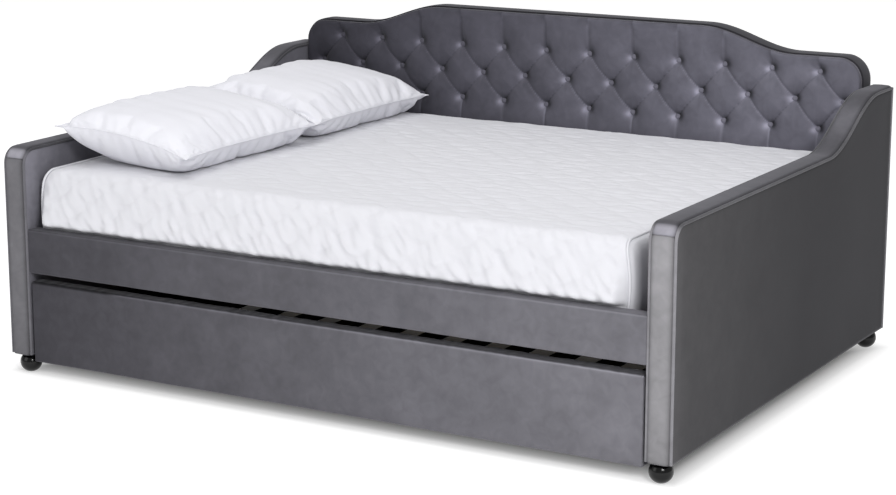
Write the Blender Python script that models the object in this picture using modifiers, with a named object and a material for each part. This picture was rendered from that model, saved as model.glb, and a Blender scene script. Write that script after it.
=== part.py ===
"""Upholstered daybed with a pull-out trundle.

Metres, +Z up.  The origin is on the floor under the middle of the bed, +X runs
along the bed's length and -Y points to the open front, where the trundle rolls
out.  Two padded arms and a tufted back stand round three sides; a padded rail
closes the front above the trundle.
"""
import math

import bmesh
import bpy
from mathutils import Euler, Vector

# ---------------------------------------------------------------- overall
WIDTH = 2.274                # over the two arms
DEPTH = 1.665                # front of the arms to the rear of the back
HEIGHT = 1.025               # floor to the crest of the back
GAP = 0.0003                 # between pieces that touch
COVER = 0.012                # velvet over foam, on every wooden core

# ---------------------------------------------------------------- arms
ARM_THICK = 0.081
ARM_BOTTOM = 0.062
ARM_TOP = 0.716              # the long flat stretch
ARM_REAR_TOP = 0.859         # where the arm meets the back
ARM_CORNER = 0.050           # radius of the front top corner
ARM_SWEEP = 0.415            # length of the rising S
ARM_SWEEP_TO_REAR = 0.132    # flat stretch behind the S
ARM_EDGE = 0.006             # rounding along both rims

# ---------------------------------------------------------------- back
BACK_BOTTOM = 0.326
BACK_CREST_RISE = 0.074      # crest above the shoulders
BACK_CREST_HALF = 0.498      # half the flat crest
BACK_SWEEP = 0.326           # width of each S from shoulder to crest
BACK_CORNER = 0.075
BACK_REAR_COVER = 0.012
BACK_CORE_THICK = 0.040
BACK_PAD_THICK = 0.0355
BACK_PAD_EDGE = 0.012

# ---------------------------------------------------------------- front rail
PANEL_SET_BACK = 0.003       # rail and trundle front, behind the arms' fronts
PANEL_THICK = 0.045
PANEL_EDGE = 0.007
RAIL_BOTTOM = 0.326
RAIL_TOP = 0.466

# ---------------------------------------------------------------- slat deck
MATTRESS_SINK = 0.070        # mattress bottom below the rail's top
SLAT_THICK = 0.018
SLAT_WIDTH = 0.070
SLAT_COUNT = 14
SLAT_END_ROOM = 0.060        # outermost slat to the arm
SLAT_SEAT = 0.036            # slat resting on the ledger
LEDGER_THICK = 0.042
LEDGER_HEIGHT = 0.040
LEDGER_END_ROOM = 0.056
REAR_RAIL_THICK = 0.022
REAR_RAIL_HEIGHT = 0.120
BEAM_THICK = 0.040
BEAM_HEIGHT = 0.060
BEAM_END_ROOM = 0.004
BEAM_BEHIND_TRUNDLE = 0.045
BEAM_LEG_COUNT = 3
BEAM_LEG_RADIUS = 0.018

# ---------------------------------------------------------------- hardware
PLATE = 0.003                # steel sheet of brackets and caster forks
BRACKET_LEG = 0.048
BRACKET_HEIGHT = 0.050
BRACKET_HOLE = 0.004
FOOT_RADIUS = 0.0345
FOOT_INWARD = 0.006          # foot's centre, inwards of the arm's middle
FOOT_FROM_END = 0.037        # foot's centre to the arm's front or rear
FOOT_NECK = 0.012
FOOT_STUD = 0.004
FOOT_STUD_LENGTH = 0.025
STUD_CLEARANCE = 0.0006

# ---------------------------------------------------------------- trundle
TRUNDLE_SLOT = 0.0245        # finger gap under the rail
TRUNDLE_BOTTOM = 0.041
TRUNDLE_SIDE_GAP = 0.008     # front panel to each arm
TRUNDLE_DEPTH = 1.049        # front panel to the rear board
TRUNDLE_FRAME_ROOM = 0.071   # arm to the trundle's side board
TRUNDLE_BOARD = 0.019
TRUNDLE_BOARD_BOTTOM = 0.058
TRUNDLE_BOARD_TOP = 0.200
TRUNDLE_SLAT_COUNT = 13
TRUNDLE_SLAT_WIDTH = 0.062
TRUNDLE_SLAT_THICK = 0.015
TRUNDLE_LEDGER = 0.050
TRUNDLE_LEDGER_TOP = 0.100
CASTER_RAIL_WIDTH = 0.070
CASTER_RAIL_THICK = 0.018
STRAP_WIDTH = 0.025
STRAP_THICK = 0.002
STRAP_FROM_LEDGER = 0.080

WHEEL_RADIUS = 0.025
WHEEL_WIDTH = 0.020
WHEEL_FROM_END = 0.130       # axle to the trundle's front or rear face
AXLE_RADIUS = 0.004
AXLE_CLEARANCE = 0.0005
FORK_CLEARANCE = 0.0015
FORK_LENGTH = 0.044

# ---------------------------------------------------------------- bedding
MATTRESS_THICK = 0.254
MATTRESS_SIDE_ROOM = 0.080   # both sides together
MATTRESS_SHIFT = -0.030      # pushed towards the left arm
MATTRESS_REAR_GAP = 0.0005
MATTRESS_RAIL_GAP = 0.0040
MATTRESS_CORNER = 0.060
MATTRESS_EDGE = 0.030
PILLOW_WIDTH = 0.500
PILLOW_THICK = 0.180
PILLOW_ARM_GAP = 0.020
PILLOW_FROM_FRONT = 0.130    # front of the arms to the front pillow
PILLOW_FROM_BACK = 0.0100    # rear pillow to the tufted pad

# ---------------------------------------------------------------- worked out
FRONT = -DEPTH / 2
BACK = DEPTH / 2
HALF_INSIDE = WIDTH / 2 - ARM_THICK
HALF_PANEL = HALF_INSIDE - GAP
HALF_CORE = HALF_PANEL - COVER - GAP
PANEL_FRONT = FRONT + PANEL_SET_BACK
PANEL_REAR = PANEL_FRONT + PANEL_THICK
BACK_CORE_REAR = BACK - BACK_REAR_COVER - GAP
BACK_CORE_FRONT = BACK_CORE_REAR - BACK_CORE_THICK
BACK_PAD_FRONT = BACK_CORE_FRONT - GAP - BACK_PAD_THICK
SLAT_TOP = RAIL_TOP - MATTRESS_SINK
SLAT_BOTTOM = SLAT_TOP - SLAT_THICK
LEDGER_TOP = SLAT_BOTTOM - GAP
REAR_RAIL_FRONT = BACK_PAD_FRONT - GAP - REAR_RAIL_THICK
MATTRESS_TOP = SLAT_TOP + GAP + MATTRESS_THICK
TRUNDLE_TOP = RAIL_BOTTOM - TRUNDLE_SLOT
TRUNDLE_REAR = PANEL_FRONT + TRUNDLE_DEPTH
TRUNDLE_HALF = HALF_INSIDE - TRUNDLE_FRAME_ROOM
TRUNDLE_INNER = TRUNDLE_HALF - TRUNDLE_BOARD - GAP
BEAM_FRONT = TRUNDLE_REAR + BEAM_BEHIND_TRUNDLE
PILLOW_FRONT = FRONT + PILLOW_FROM_FRONT
PILLOW_LENGTH = (BACK_PAD_FRONT - PILLOW_FROM_BACK - PILLOW_FRONT - GAP) / 2


# ---------------------------------------------------------------- scene
def empty_scene():
    """Remove whatever the file opened with."""
    for obj in list(bpy.data.objects):
        bpy.data.objects.remove(obj, do_unlink=True)


def new_collection(name):
    collection = bpy.data.collections.new(name)
    bpy.context.scene.collection.children.link(collection)
    return collection


empty_scene()
PARTS = new_collection("trundle_daybed")
CUTTERS = new_collection("cutters")


def place_in(obj, collection):
    """Keep an object in one collection only."""
    for other in list(obj.users_collection):
        other.objects.unlink(obj)
    collection.objects.link(obj)


FINISHES = {
    "velvet": ((0.115, 0.115, 0.125), 0.75, 0.0),
    "plywood": ((0.480, 0.330, 0.190), 0.70, 0.0),
    "pine": ((0.640, 0.450, 0.260), 0.65, 0.0),
    "zinc_steel": ((0.560, 0.570, 0.580), 0.35, 1.0),
    "black_lacquer": ((0.010, 0.010, 0.010), 0.15, 0.0),
    "caster_plastic": ((0.030, 0.030, 0.030), 0.45, 0.0),
    "webbing": ((0.700, 0.680, 0.640), 0.80, 0.0),
    "quilted_cotton": ((0.860, 0.860, 0.870), 0.85, 0.0),
    "pillow_cotton": ((0.880, 0.880, 0.890), 0.85, 0.0),
}


def finish(obj, name):
    """Give a piece its own copy of a named finish."""
    colour, roughness, metallic = FINISHES[name]
    material = bpy.data.materials.new(f"{obj.name}_{name}")
    material.use_nodes = True
    shader = material.node_tree.nodes["Principled BSDF"]
    shader.inputs["Base Color"].default_value = (*colour, 1.0)
    shader.inputs["Roughness"].default_value = roughness
    shader.inputs["Metallic"].default_value = metallic
    obj.data.materials.clear()
    obj.data.materials.append(material)


# ---------------------------------------------------------------- makers
def box(name, low, high, look=None):
    """A board between two corners; without a look it is a cutter."""
    low, high = Vector(low), Vector(high)
    bpy.ops.mesh.primitive_cube_add(size=1, location=(low + high) / 2)
    obj = bpy.context.object
    obj.name = name
    obj.scale = high - low
    bpy.ops.object.transform_apply(location=False, rotation=False, scale=True)
    settle(obj, look)
    return obj


def rod(name, centre, radius, length, axis, look=None, sides=24):
    """A round bar along X, Y or Z."""
    turn = {"X": (0, math.pi / 2, 0), "Y": (math.pi / 2, 0, 0), "Z": (0, 0, 0)}[axis]
    bpy.ops.mesh.primitive_cylinder_add(vertices=sides, radius=radius, depth=length,
                                        location=centre, rotation=turn)
    obj = bpy.context.object
    obj.name = name
    settle(obj, look)
    return obj


def settle(obj, look):
    """File a finished shape as a part or as a hidden cutter."""
    if look is None:
        place_in(obj, CUTTERS)
        obj.hide_render = True
        obj.display_type = "WIRE"
    else:
        place_in(obj, PARTS)
        finish(obj, look)


SIDE_ON = Euler((math.pi / 2, 0, math.pi / 2))   # outline in Y and Z, thickness in X
FACE_ON = Euler((math.pi / 2, 0, 0))             # outline in X and Z, thickness in Y
FLAT = Euler((0, 0, 0))                          # outline in X and Y, thickness in Z


def plate(name, outline, thickness, centre, turn, look=None):
    """A flat outline given a thickness, centred on a plane through centre."""
    curve = bpy.data.curves.new(name, "CURVE")
    curve.dimensions = "2D"
    curve.fill_mode = "BOTH"
    curve.extrude = thickness / 2
    spline = curve.splines.new("POLY")
    spline.points.add(len(outline) - 1)
    for point, (across, up) in zip(spline.points, outline):
        point.co = (across, up, 0, 1)
    spline.use_cyclic_u = True
    guide = bpy.data.objects.new(name + "_outline", curve)
    bpy.context.scene.collection.objects.link(guide)
    guide.rotation_euler = turn
    guide.location = centre
    bpy.context.view_layer.update()
    evaluated = guide.evaluated_get(bpy.context.evaluated_depsgraph_get())
    mesh = bpy.data.meshes.new_from_object(evaluated)
    weld = bmesh.new()
    weld.from_mesh(mesh)
    bmesh.ops.remove_doubles(weld, verts=weld.verts, dist=0.00001)
    bmesh.ops.dissolve_limit(weld, angle_limit=0.001, verts=weld.verts, edges=weld.edges)
    bmesh.ops.recalc_face_normals(weld, faces=weld.faces)
    weld.to_mesh(mesh)
    weld.free()
    obj = bpy.data.objects.new(name, mesh)
    bpy.context.scene.collection.objects.link(obj)
    obj.matrix_world = guide.matrix_world
    bpy.data.objects.remove(guide, do_unlink=True)
    settle(obj, look)
    return obj


def turned(name, profile, steps, look):
    """A profile of (radius, height) points turned round Z."""
    mesh = bpy.data.meshes.new(name)
    shape = bmesh.new()
    ring = [shape.verts.new((radius, 0, height)) for radius, height in profile]
    closed = profile[0][0] > 0
    for first, second in zip(ring, ring[1:]):
        shape.edges.new((first, second))
    if closed:
        shape.edges.new((ring[-1], ring[0]))
    shape.to_mesh(mesh)
    shape.free()
    obj = bpy.data.objects.new(name, mesh)
    bpy.context.scene.collection.objects.link(obj)
    screw = obj.modifiers.new("turn", "SCREW")
    screw.steps = steps
    screw.render_steps = steps
    screw.use_merge_vertices = True
    screw.merge_threshold = 0.00001
    screw.use_smooth_shade = True
    settle(obj, look)
    return obj


def round_edges(obj, width, segments=2):
    bevel = obj.modifiers.new("edges", "BEVEL")
    bevel.width = width
    bevel.segments = segments
    bevel.limit_method = "ANGLE"
    bevel.angle_limit = math.radians(40)
    return bevel


def combine(obj, other, operation):
    """Cut with, or join to, another solid."""
    place_in(other, CUTTERS)
    other.hide_render = True
    other.display_type = "WIRE"
    boolean = obj.modifiers.new(operation.lower(), "BOOLEAN")
    boolean.object = other
    boolean.operation = operation
    boolean.solver = "EXACT"
    return boolean


def ease(share):
    """0 to 1 along half a cosine wave: the S of the arms and of the crest."""
    return (1 - math.cos(math.pi * share)) / 2


def spread(low, high, count):
    """Evenly spaced places from low to high, both included."""
    return [low + (high - low) * step / (count - 1) for step in range(count)]


# ---------------------------------------------------------------- outlines
SWEEP_STEPS = 10
CORNER_STEPS = 5


def arm_outline(inset, bottom):
    """Side view of an arm, drawn in by inset: front corner, flat, S, rear."""
    front, rear = FRONT + inset, BACK - inset
    radius = ARM_CORNER - inset
    points = [(rear, bottom), (front, bottom)]
    for angle in spread(math.pi, math.pi / 2, CORNER_STEPS + 1):
        points.append((front + radius + radius * math.cos(angle),
                       ARM_TOP - inset - radius + radius * math.sin(angle)))
    start = BACK - ARM_SWEEP_TO_REAR - ARM_SWEEP
    for share in spread(0, 1, SWEEP_STEPS + 1):
        points.append((start + ARM_SWEEP * share,
                       ARM_TOP - inset + (ARM_REAR_TOP - ARM_TOP) * ease(share)))
    points.append((rear, ARM_REAR_TOP - inset))
    return points


def back_outline(half, inset, bottom):
    """Front view of the back: round shoulders, an S up to a flat crest."""
    edge = half - inset
    radius = BACK_CORNER - inset
    shoulder = HEIGHT - BACK_CREST_RISE - inset
    right = [(edge, bottom)]
    for angle in spread(0, math.pi / 2, CORNER_STEPS + 1):
        right.append((edge - radius + radius * math.cos(angle),
                      shoulder - radius + radius * math.sin(angle)))
    for share in spread(0, 1, SWEEP_STEPS + 1):
        right.append((BACK_CREST_HALF + BACK_SWEEP * (1 - share),
                      shoulder + BACK_CREST_RISE * ease(share)))
    return right + [(-across, up) for across, up in reversed(right)]


# ---------------------------------------------------------------- pieces
def make_arm(side, sign):
    """Plywood core in a padded velvet cover that is open along the bottom."""
    centre = (sign * (WIDTH - ARM_THICK) / 2, 0, 0)
    pocket_thick = ARM_THICK - 2 * COVER
    core = plate(f"{side}_arm_core", arm_outline(COVER + GAP, ARM_BOTTOM),
                 pocket_thick - 2 * GAP, centre, SIDE_ON, "plywood")
    cover = plate(f"{side}_arm_cover", arm_outline(0, ARM_BOTTOM),
                  ARM_THICK, centre, SIDE_ON, "velvet")
    round_edges(cover, ARM_EDGE)
    pocket = plate(f"{side}_arm_pocket", arm_outline(COVER, ARM_BOTTOM - COVER),
                   pocket_thick, centre, SIDE_ON)
    combine(cover, pocket, "DIFFERENCE")
    foot_centre = centre[0] - math.copysign(FOOT_INWARD, centre[0])
    for end, place in (("front", FRONT + FOOT_FROM_END), ("rear", BACK - FOOT_FROM_END)):
        spot = Vector((foot_centre, place, 0))
        make_foot(f"{end}_{side}_foot", spot)
        hole_length = FOOT_STUD_LENGTH + STUD_CLEARANCE
        hole = rod(f"{end}_{side}_stud_hole", spot + Vector((0, 0, ARM_BOTTOM)),
                   FOOT_STUD + STUD_CLEARANCE, 2 * hole_length, "Z", sides=16)
        combine(core, hole, "DIFFERENCE")


def make_foot(name, spot):
    """Turned bun foot with the threaded stud that holds it under the arm."""
    top = ARM_BOTTOM - GAP
    waist = top / 2
    bulge = FOOT_RADIUS - FOOT_NECK
    profile = [(0, top + FOOT_STUD_LENGTH), (FOOT_STUD, top + FOOT_STUD_LENGTH), (FOOT_STUD, top)]
    for angle in spread(math.pi / 2, -math.pi / 2, 9):
        profile.append((FOOT_NECK + bulge * math.cos(angle), waist + waist * math.sin(angle)))
    profile.append((0, 0))
    foot = turned(name, profile, 24, "black_lacquer")
    foot.location = spot


def make_back():
    """Wooden core in a rear cover that wraps its edges, and the tufted front pad."""
    pad_centre = (0, BACK_PAD_FRONT + BACK_PAD_THICK / 2, 0)
    pad = plate("tufted_back_pad", back_outline(HALF_PANEL, 0, BACK_BOTTOM),
                BACK_PAD_THICK, pad_centre, FACE_ON, "velvet")
    round_edges(pad, BACK_PAD_EDGE)
    plate("back_core", back_outline(HALF_PANEL, COVER + GAP, BACK_BOTTOM + COVER + GAP),
          BACK_CORE_THICK, (0, BACK_CORE_FRONT + BACK_CORE_THICK / 2, 0), FACE_ON, "plywood")
    cover_thick = BACK - BACK_CORE_FRONT
    cover = plate("back_rear_cover", back_outline(HALF_PANEL, 0, BACK_BOTTOM),
                  cover_thick, (0, BACK_CORE_FRONT + cover_thick / 2, 0), FACE_ON, "velvet")
    pocket = plate("back_pocket", back_outline(HALF_PANEL, COVER, BACK_BOTTOM + COVER),
                   2 * (BACK_CORE_THICK + GAP), (0, BACK_CORE_FRONT, 0), FACE_ON)
    combine(cover, pocket, "DIFFERENCE")


def make_panel(name, half, bottom, top):
    """Padded front panel: a board in a velvet cover that is open at the rear."""
    cover = box(f"{name}_cover", (-half, PANEL_FRONT, bottom), (half, PANEL_REAR, top), "velvet")
    round_edges(cover, PANEL_EDGE)
    pocket = box(f"{name}_pocket", (-half + COVER, PANEL_FRONT + COVER, bottom + COVER),
                 (half - COVER, PANEL_REAR + COVER, top - COVER))
    combine(cover, pocket, "DIFFERENCE")
    inset = COVER + GAP
    box(f"{name}_core", (-half + inset, PANEL_FRONT + inset, bottom + inset),
        (half - inset, PANEL_REAR, top - inset), "plywood")


def make_deck():
    """Ledgers, rear rail, support beam and slats under the mattress."""
    half = HALF_INSIDE - LEDGER_END_ROOM
    front_ledger_front = PANEL_REAR + GAP
    box("front_ledger", (-half, front_ledger_front, LEDGER_TOP - LEDGER_HEIGHT),
        (half, front_ledger_front + LEDGER_THICK, LEDGER_TOP), "pine")
    box("rear_rail", (-HALF_PANEL, REAR_RAIL_FRONT, SLAT_TOP - REAR_RAIL_HEIGHT),
        (HALF_PANEL, REAR_RAIL_FRONT + REAR_RAIL_THICK, SLAT_TOP), "pine")
    rear_ledger_rear = REAR_RAIL_FRONT - GAP
    box("rear_ledger", (-half, rear_ledger_rear - LEDGER_THICK, LEDGER_TOP - LEDGER_HEIGHT),
        (half, rear_ledger_rear, LEDGER_TOP), "pine")
    beam_half = HALF_INSIDE - BEAM_END_ROOM
    beam_bottom = LEDGER_TOP - BEAM_HEIGHT
    box("support_beam", (-beam_half, BEAM_FRONT, beam_bottom),
        (beam_half, BEAM_FRONT + BEAM_THICK, LEDGER_TOP), "pine")
    leg_top = beam_bottom - GAP
    leg_reach = beam_half * (BEAM_LEG_COUNT - 1) / (BEAM_LEG_COUNT + 1)
    for number, across in enumerate(spread(-leg_reach, leg_reach, BEAM_LEG_COUNT), 1):
        rod(f"beam_leg_{number}", (across, BEAM_FRONT + BEAM_THICK / 2, leg_top / 2),
            BEAM_LEG_RADIUS, leg_top, "Z", "caster_plastic")
    slat_front = front_ledger_front + LEDGER_THICK - SLAT_SEAT
    slat_rear = rear_ledger_rear - LEDGER_THICK + SLAT_SEAT
    reach = HALF_INSIDE - SLAT_END_ROOM - SLAT_WIDTH / 2
    for number, across in enumerate(spread(-reach, reach, SLAT_COUNT), 1):
        box(f"slat_{number:02d}", (across - SLAT_WIDTH / 2, slat_front, SLAT_BOTTOM),
            (across + SLAT_WIDTH / 2, slat_rear, SLAT_TOP), "pine")


def make_bracket(name, side, corner_y, into):
    """Steel angle that joins the end of a rail to an arm.

    side is -1 or 1 for the arm, and into is the way, along Y, off the rail's face.
    """
    arm_face = side * (HALF_INSIDE - GAP)
    rail_face = corner_y + into * GAP
    inner = arm_face - side * PLATE
    outline = [(arm_face, rail_face), (arm_face - side * BRACKET_LEG, rail_face),
               (arm_face - side * BRACKET_LEG, rail_face + into * PLATE),
               (inner, rail_face + into * PLATE),
               (inner, rail_face + into * BRACKET_LEG),
               (arm_face, rail_face + into * BRACKET_LEG)]
    middle = SLAT_TOP - GAP - BRACKET_HEIGHT / 2
    bracket = plate(name, outline, BRACKET_HEIGHT, (0, 0, middle), FLAT, "zinc_steel")
    for number, share in enumerate((-0.25, 0.25), 1):
        up = middle + share * BRACKET_HEIGHT
        along = arm_face - side * BRACKET_LEG * 0.6
        hole = rod(f"{name}_hole_{number}", (along, rail_face, up), BRACKET_HOLE,
                   4 * PLATE, "Y", sides=12)
        combine(bracket, hole, "DIFFERENCE")


def make_trundle():
    """Low open box behind its own padded front, with a rolled slat base."""
    make_panel("trundle_front", HALF_INSIDE - TRUNDLE_SIDE_GAP, TRUNDLE_BOTTOM, TRUNDLE_TOP)
    box_front = PANEL_REAR + GAP
    board_front = TRUNDLE_REAR - TRUNDLE_BOARD
    low, high = TRUNDLE_BOARD_BOTTOM, TRUNDLE_BOARD_TOP
    for side, sign in (("left", -1), ("right", 1)):
        edges = sorted((sign * TRUNDLE_HALF, sign * (TRUNDLE_HALF - TRUNDLE_BOARD)))
        box(f"trundle_{side}_board", (edges[0], box_front, low),
            (edges[1], board_front - GAP, high), "pine")
    box("trundle_rear_board", (-TRUNDLE_HALF, board_front, low),
        (TRUNDLE_HALF, TRUNDLE_REAR, high), "pine")
    ledger_bottom = low + CASTER_RAIL_THICK + GAP
    for end, start in (("front", box_front), ("rear", board_front - GAP - TRUNDLE_LEDGER)):
        box(f"trundle_{end}_ledger", (-TRUNDLE_INNER, start, ledger_bottom),
            (TRUNDLE_INNER, start + TRUNDLE_LEDGER, TRUNDLE_LEDGER_TOP), "pine")
    make_trundle_slats(box_front + GAP, board_front - 2 * GAP)
    for side, sign in (("left", -1), ("right", 1)):
        edges = sorted((sign * TRUNDLE_INNER, sign * (TRUNDLE_INNER - CASTER_RAIL_WIDTH)))
        box(f"{side}_caster_rail", (edges[0], box_front, low),
            (edges[1], board_front - GAP, low + CASTER_RAIL_THICK), "pine")
        for end, place in (("front", PANEL_FRONT + WHEEL_FROM_END),
                           ("rear", TRUNDLE_REAR - WHEEL_FROM_END)):
            make_caster(f"{end}_{side}", Vector((sum(edges) / 2, place, 0)))


def make_trundle_slats(front, rear):
    """Thin slats stapled to two straps, so that the whole base rolls up."""
    bottom = TRUNDLE_LEDGER_TOP + GAP
    top = bottom + TRUNDLE_SLAT_THICK
    reach = TRUNDLE_INNER - GAP - TRUNDLE_SLAT_WIDTH / 2
    half = TRUNDLE_SLAT_WIDTH / 2
    strap_reach = reach + half
    strap_places = (front + TRUNDLE_LEDGER + STRAP_FROM_LEDGER,
                    rear - TRUNDLE_LEDGER - STRAP_FROM_LEDGER - STRAP_WIDTH)
    places = spread(-reach, reach, TRUNDLE_SLAT_COUNT)
    roll = box("trundle_slat_roll", (places[0] - half, front, bottom),
               (places[0] + half, rear, top), "pine")
    for number, across in enumerate(places[1:], 2):
        slat = box(f"roll_slat_{number:02d}", (across - half, front, bottom),
                   (across + half, rear, top))
        combine(roll, slat, "UNION")
    for number, start in enumerate(strap_places, 1):
        strap = box(f"roll_strap_{number}", (-strap_reach, start, bottom - STRAP_THICK),
                    (strap_reach, start + STRAP_WIDTH, bottom + STRAP_THICK))
        combine(roll, strap, "UNION")


def make_caster(place, spot):
    """Fixed fork with its axle, and the wheel that turns on it."""
    plate_top = TRUNDLE_BOARD_BOTTOM - GAP
    inner = WHEEL_WIDTH / 2 + FORK_CLEARANCE
    outer = inner + PLATE
    half_length = FORK_LENGTH / 2
    fork = box(f"{place}_caster_fork",
               spot + Vector((-outer, -half_length, plate_top - PLATE)),
               spot + Vector((outer, half_length, plate_top)), "zinc_steel")
    axle_up = Vector((0, 0, WHEEL_RADIUS))
    cheek = 2.5 * AXLE_RADIUS
    for side, sign in (("left", -1), ("right", 1)):
        edges = sorted((sign * inner, sign * outer))
        wall = box(f"{place}_{side}_cheek",
                   spot + Vector((edges[0], -cheek, WHEEL_RADIUS - cheek)),
                   spot + Vector((edges[1], cheek, plate_top - PLATE / 2)))
        combine(fork, wall, "UNION")
    axle = rod(f"{place}_axle", spot + axle_up, AXLE_RADIUS, 2 * outer + PLATE, "X", sides=20)
    combine(fork, axle, "UNION")
    half_width = WHEEL_WIDTH / 2
    bore = AXLE_RADIUS + AXLE_CLEARANCE
    shoulder = WHEEL_RADIUS - WHEEL_WIDTH / 8
    profile = [(bore, half_width), (shoulder, half_width), (WHEEL_RADIUS, half_width / 2),
               (WHEEL_RADIUS, -half_width / 2), (shoulder, -half_width), (bore, -half_width)]
    wheel = turned(f"{place}_wheel", profile, 32, "caster_plastic")
    wheel.location = spot + axle_up
    wheel.rotation_euler = (0, math.pi / 2, 0)


def make_mattress():
    """Deep mattress with round corners and soft top and bottom rims."""
    width = 2 * HALF_INSIDE - MATTRESS_SIDE_ROOM
    low = Vector((MATTRESS_SHIFT - width / 2, PANEL_REAR + MATTRESS_RAIL_GAP, SLAT_TOP + GAP))
    high = Vector((MATTRESS_SHIFT + width / 2, BACK_PAD_FRONT - MATTRESS_REAR_GAP, MATTRESS_TOP))
    radius = MATTRESS_CORNER
    outline = []
    corners = ((high.x - radius, high.y - radius, 0), (low.x + radius, high.y - radius, 1),
               (low.x + radius, low.y + radius, 2), (high.x - radius, low.y + radius, 3))
    for across, along, quarter in corners:
        for angle in spread(quarter * math.pi / 2, (quarter + 1) * math.pi / 2, CORNER_STEPS + 1):
            outline.append((across + radius * math.cos(angle), along + radius * math.sin(angle)))
    mattress = plate("mattress", outline, MATTRESS_THICK, (0, 0, (low.z + high.z) / 2),
                     FLAT, "quilted_cotton")
    round_edges(mattress, MATTRESS_EDGE, 3)


def make_pillow(name, front):
    """Crowned pillow: a round form pulled out to four corners along its seam."""
    size = Vector((PILLOW_WIDTH, PILLOW_LENGTH, PILLOW_THICK))
    low = Vector((-HALF_INSIDE + PILLOW_ARM_GAP, front, MATTRESS_TOP + GAP))
    mesh = bpy.data.meshes.new(name)
    shape = bmesh.new()
    bmesh.ops.create_uvsphere(shape, u_segments=24, v_segments=12, radius=0.5)
    for vert in shape.verts:
        across, along = abs(vert.co.x), abs(vert.co.y)
        pull = math.hypot(across, along) / max(across, along, 0.001)
        vert.co = Vector((vert.co.x * pull * size.x, vert.co.y * pull * size.y,
                          vert.co.z * size.z))
    shape.to_mesh(mesh)
    shape.free()
    pillow = bpy.data.objects.new(name, mesh)
    bpy.context.scene.collection.objects.link(pillow)
    pillow.location = low + size / 2
    settle(pillow, "pillow_cotton")


for arm_side, arm_sign in (("left", -1), ("right", 1)):
    make_arm(arm_side, arm_sign)
make_back()
make_panel("front_rail", HALF_PANEL, RAIL_BOTTOM, RAIL_TOP)
make_deck()
for arm_side, arm_sign in (("left", -1), ("right", 1)):
    make_bracket(f"front_{arm_side}_bracket", arm_sign, PANEL_REAR, 1)
    make_bracket(f"rear_{arm_side}_bracket", arm_sign, REAR_RAIL_FRONT, -1)
make_trundle()
make_mattress()
make_pillow("front_pillow", PILLOW_FRONT)
make_pillow("rear_pillow", PILLOW_FRONT + PILLOW_LENGTH + GAP)
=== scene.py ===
# %% [markdown]
# # An upholstered daybed with a trundle
#
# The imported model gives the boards, the slats, the steel parts and the wheels, all in their places.
# This lesson dresses that skeleton: velvet panels with piping, a deep-buttoned back, a quilted
# mattress and two pillows. Everything is in metres, +Z up, and the open front faces -Y.

# %% Load the frame
import math

import bpy
import numpy as np
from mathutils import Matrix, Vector, noise


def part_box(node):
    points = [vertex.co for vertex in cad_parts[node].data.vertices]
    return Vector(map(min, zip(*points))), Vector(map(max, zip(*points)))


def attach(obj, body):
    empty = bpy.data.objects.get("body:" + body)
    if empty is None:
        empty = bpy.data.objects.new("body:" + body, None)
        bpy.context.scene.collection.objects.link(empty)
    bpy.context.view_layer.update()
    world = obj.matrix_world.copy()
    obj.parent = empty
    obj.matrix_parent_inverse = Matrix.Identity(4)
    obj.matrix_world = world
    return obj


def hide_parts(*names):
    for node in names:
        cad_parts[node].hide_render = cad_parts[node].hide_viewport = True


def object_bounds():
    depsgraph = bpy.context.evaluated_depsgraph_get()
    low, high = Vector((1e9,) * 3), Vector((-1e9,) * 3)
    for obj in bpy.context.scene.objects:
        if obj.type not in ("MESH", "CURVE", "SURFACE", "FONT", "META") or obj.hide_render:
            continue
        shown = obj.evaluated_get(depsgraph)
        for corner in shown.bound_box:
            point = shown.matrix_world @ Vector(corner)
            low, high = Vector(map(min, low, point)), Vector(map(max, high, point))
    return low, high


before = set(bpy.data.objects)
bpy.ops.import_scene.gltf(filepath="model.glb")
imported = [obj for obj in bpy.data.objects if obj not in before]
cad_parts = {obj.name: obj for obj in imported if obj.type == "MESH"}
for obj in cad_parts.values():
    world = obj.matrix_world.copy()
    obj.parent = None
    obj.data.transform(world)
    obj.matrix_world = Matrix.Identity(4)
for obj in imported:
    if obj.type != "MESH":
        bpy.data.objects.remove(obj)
cad_bounds = [list(corner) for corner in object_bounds()]
MM = 0.001
print("CAD box", cad_bounds)

# %% [markdown]
# ## Camera
#
# A product shot from the front right, a little above the crest of the back, with a long lens so
# that the long front edges hardly converge. The lens is given for a 36 mm wide sensor.

# %% Camera
CAMERA_PLACE = (3.4861, -6.0785, 1.9649)
CAMERA_TILT = math.radians(90 - 12.86)
CAMERA_TURN = math.radians(30.056)
LENS, SENSOR_WIDTH = 90.635, 36
camera_data = bpy.data.cameras.new("camera")
camera_data.lens = LENS
camera_data.sensor_width = SENSOR_WIDTH
camera = bpy.data.objects.new("camera", camera_data)
camera.location = CAMERA_PLACE
camera.rotation_euler = (CAMERA_TILT, 0, CAMERA_TURN)
bpy.context.scene.collection.objects.link(camera)
bpy.context.scene.camera = camera
print("camera at", CAMERA_PLACE, "with a lens of", LENS, "mm")

# %% [markdown]
# ## Studio
#
# A white floor that runs out of sight, a bright white surround and three large soft lamps. The
# main lamp stands in front on the right, so the buttons' hollows are bright on their left side and
# dark on their right, and light and shade painted into the velvet add to this. A lamp overhead
# keeps the mattress bright. Standard colour keeps the whites white.

# %% Floor and lamps
KEY_WATTS, FILL_WATTS, OVERHEAD_WATTS = 160, 42, 78
SURROUND_STRENGTH = 0.45


def lamp(name, place, target, size, power):
    """A square soft box that looks at a point."""
    data = bpy.data.lights.new(name, "AREA")
    data.shape = "SQUARE"
    data.size = size
    data.energy = power
    made = bpy.data.objects.new(name, data)
    made.location = place
    made.rotation_euler = (Vector(target) - Vector(place)).to_track_quat("-Z", "Y").to_euler()
    bpy.context.scene.collection.objects.link(made)
    print(name, power, "W")


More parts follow.
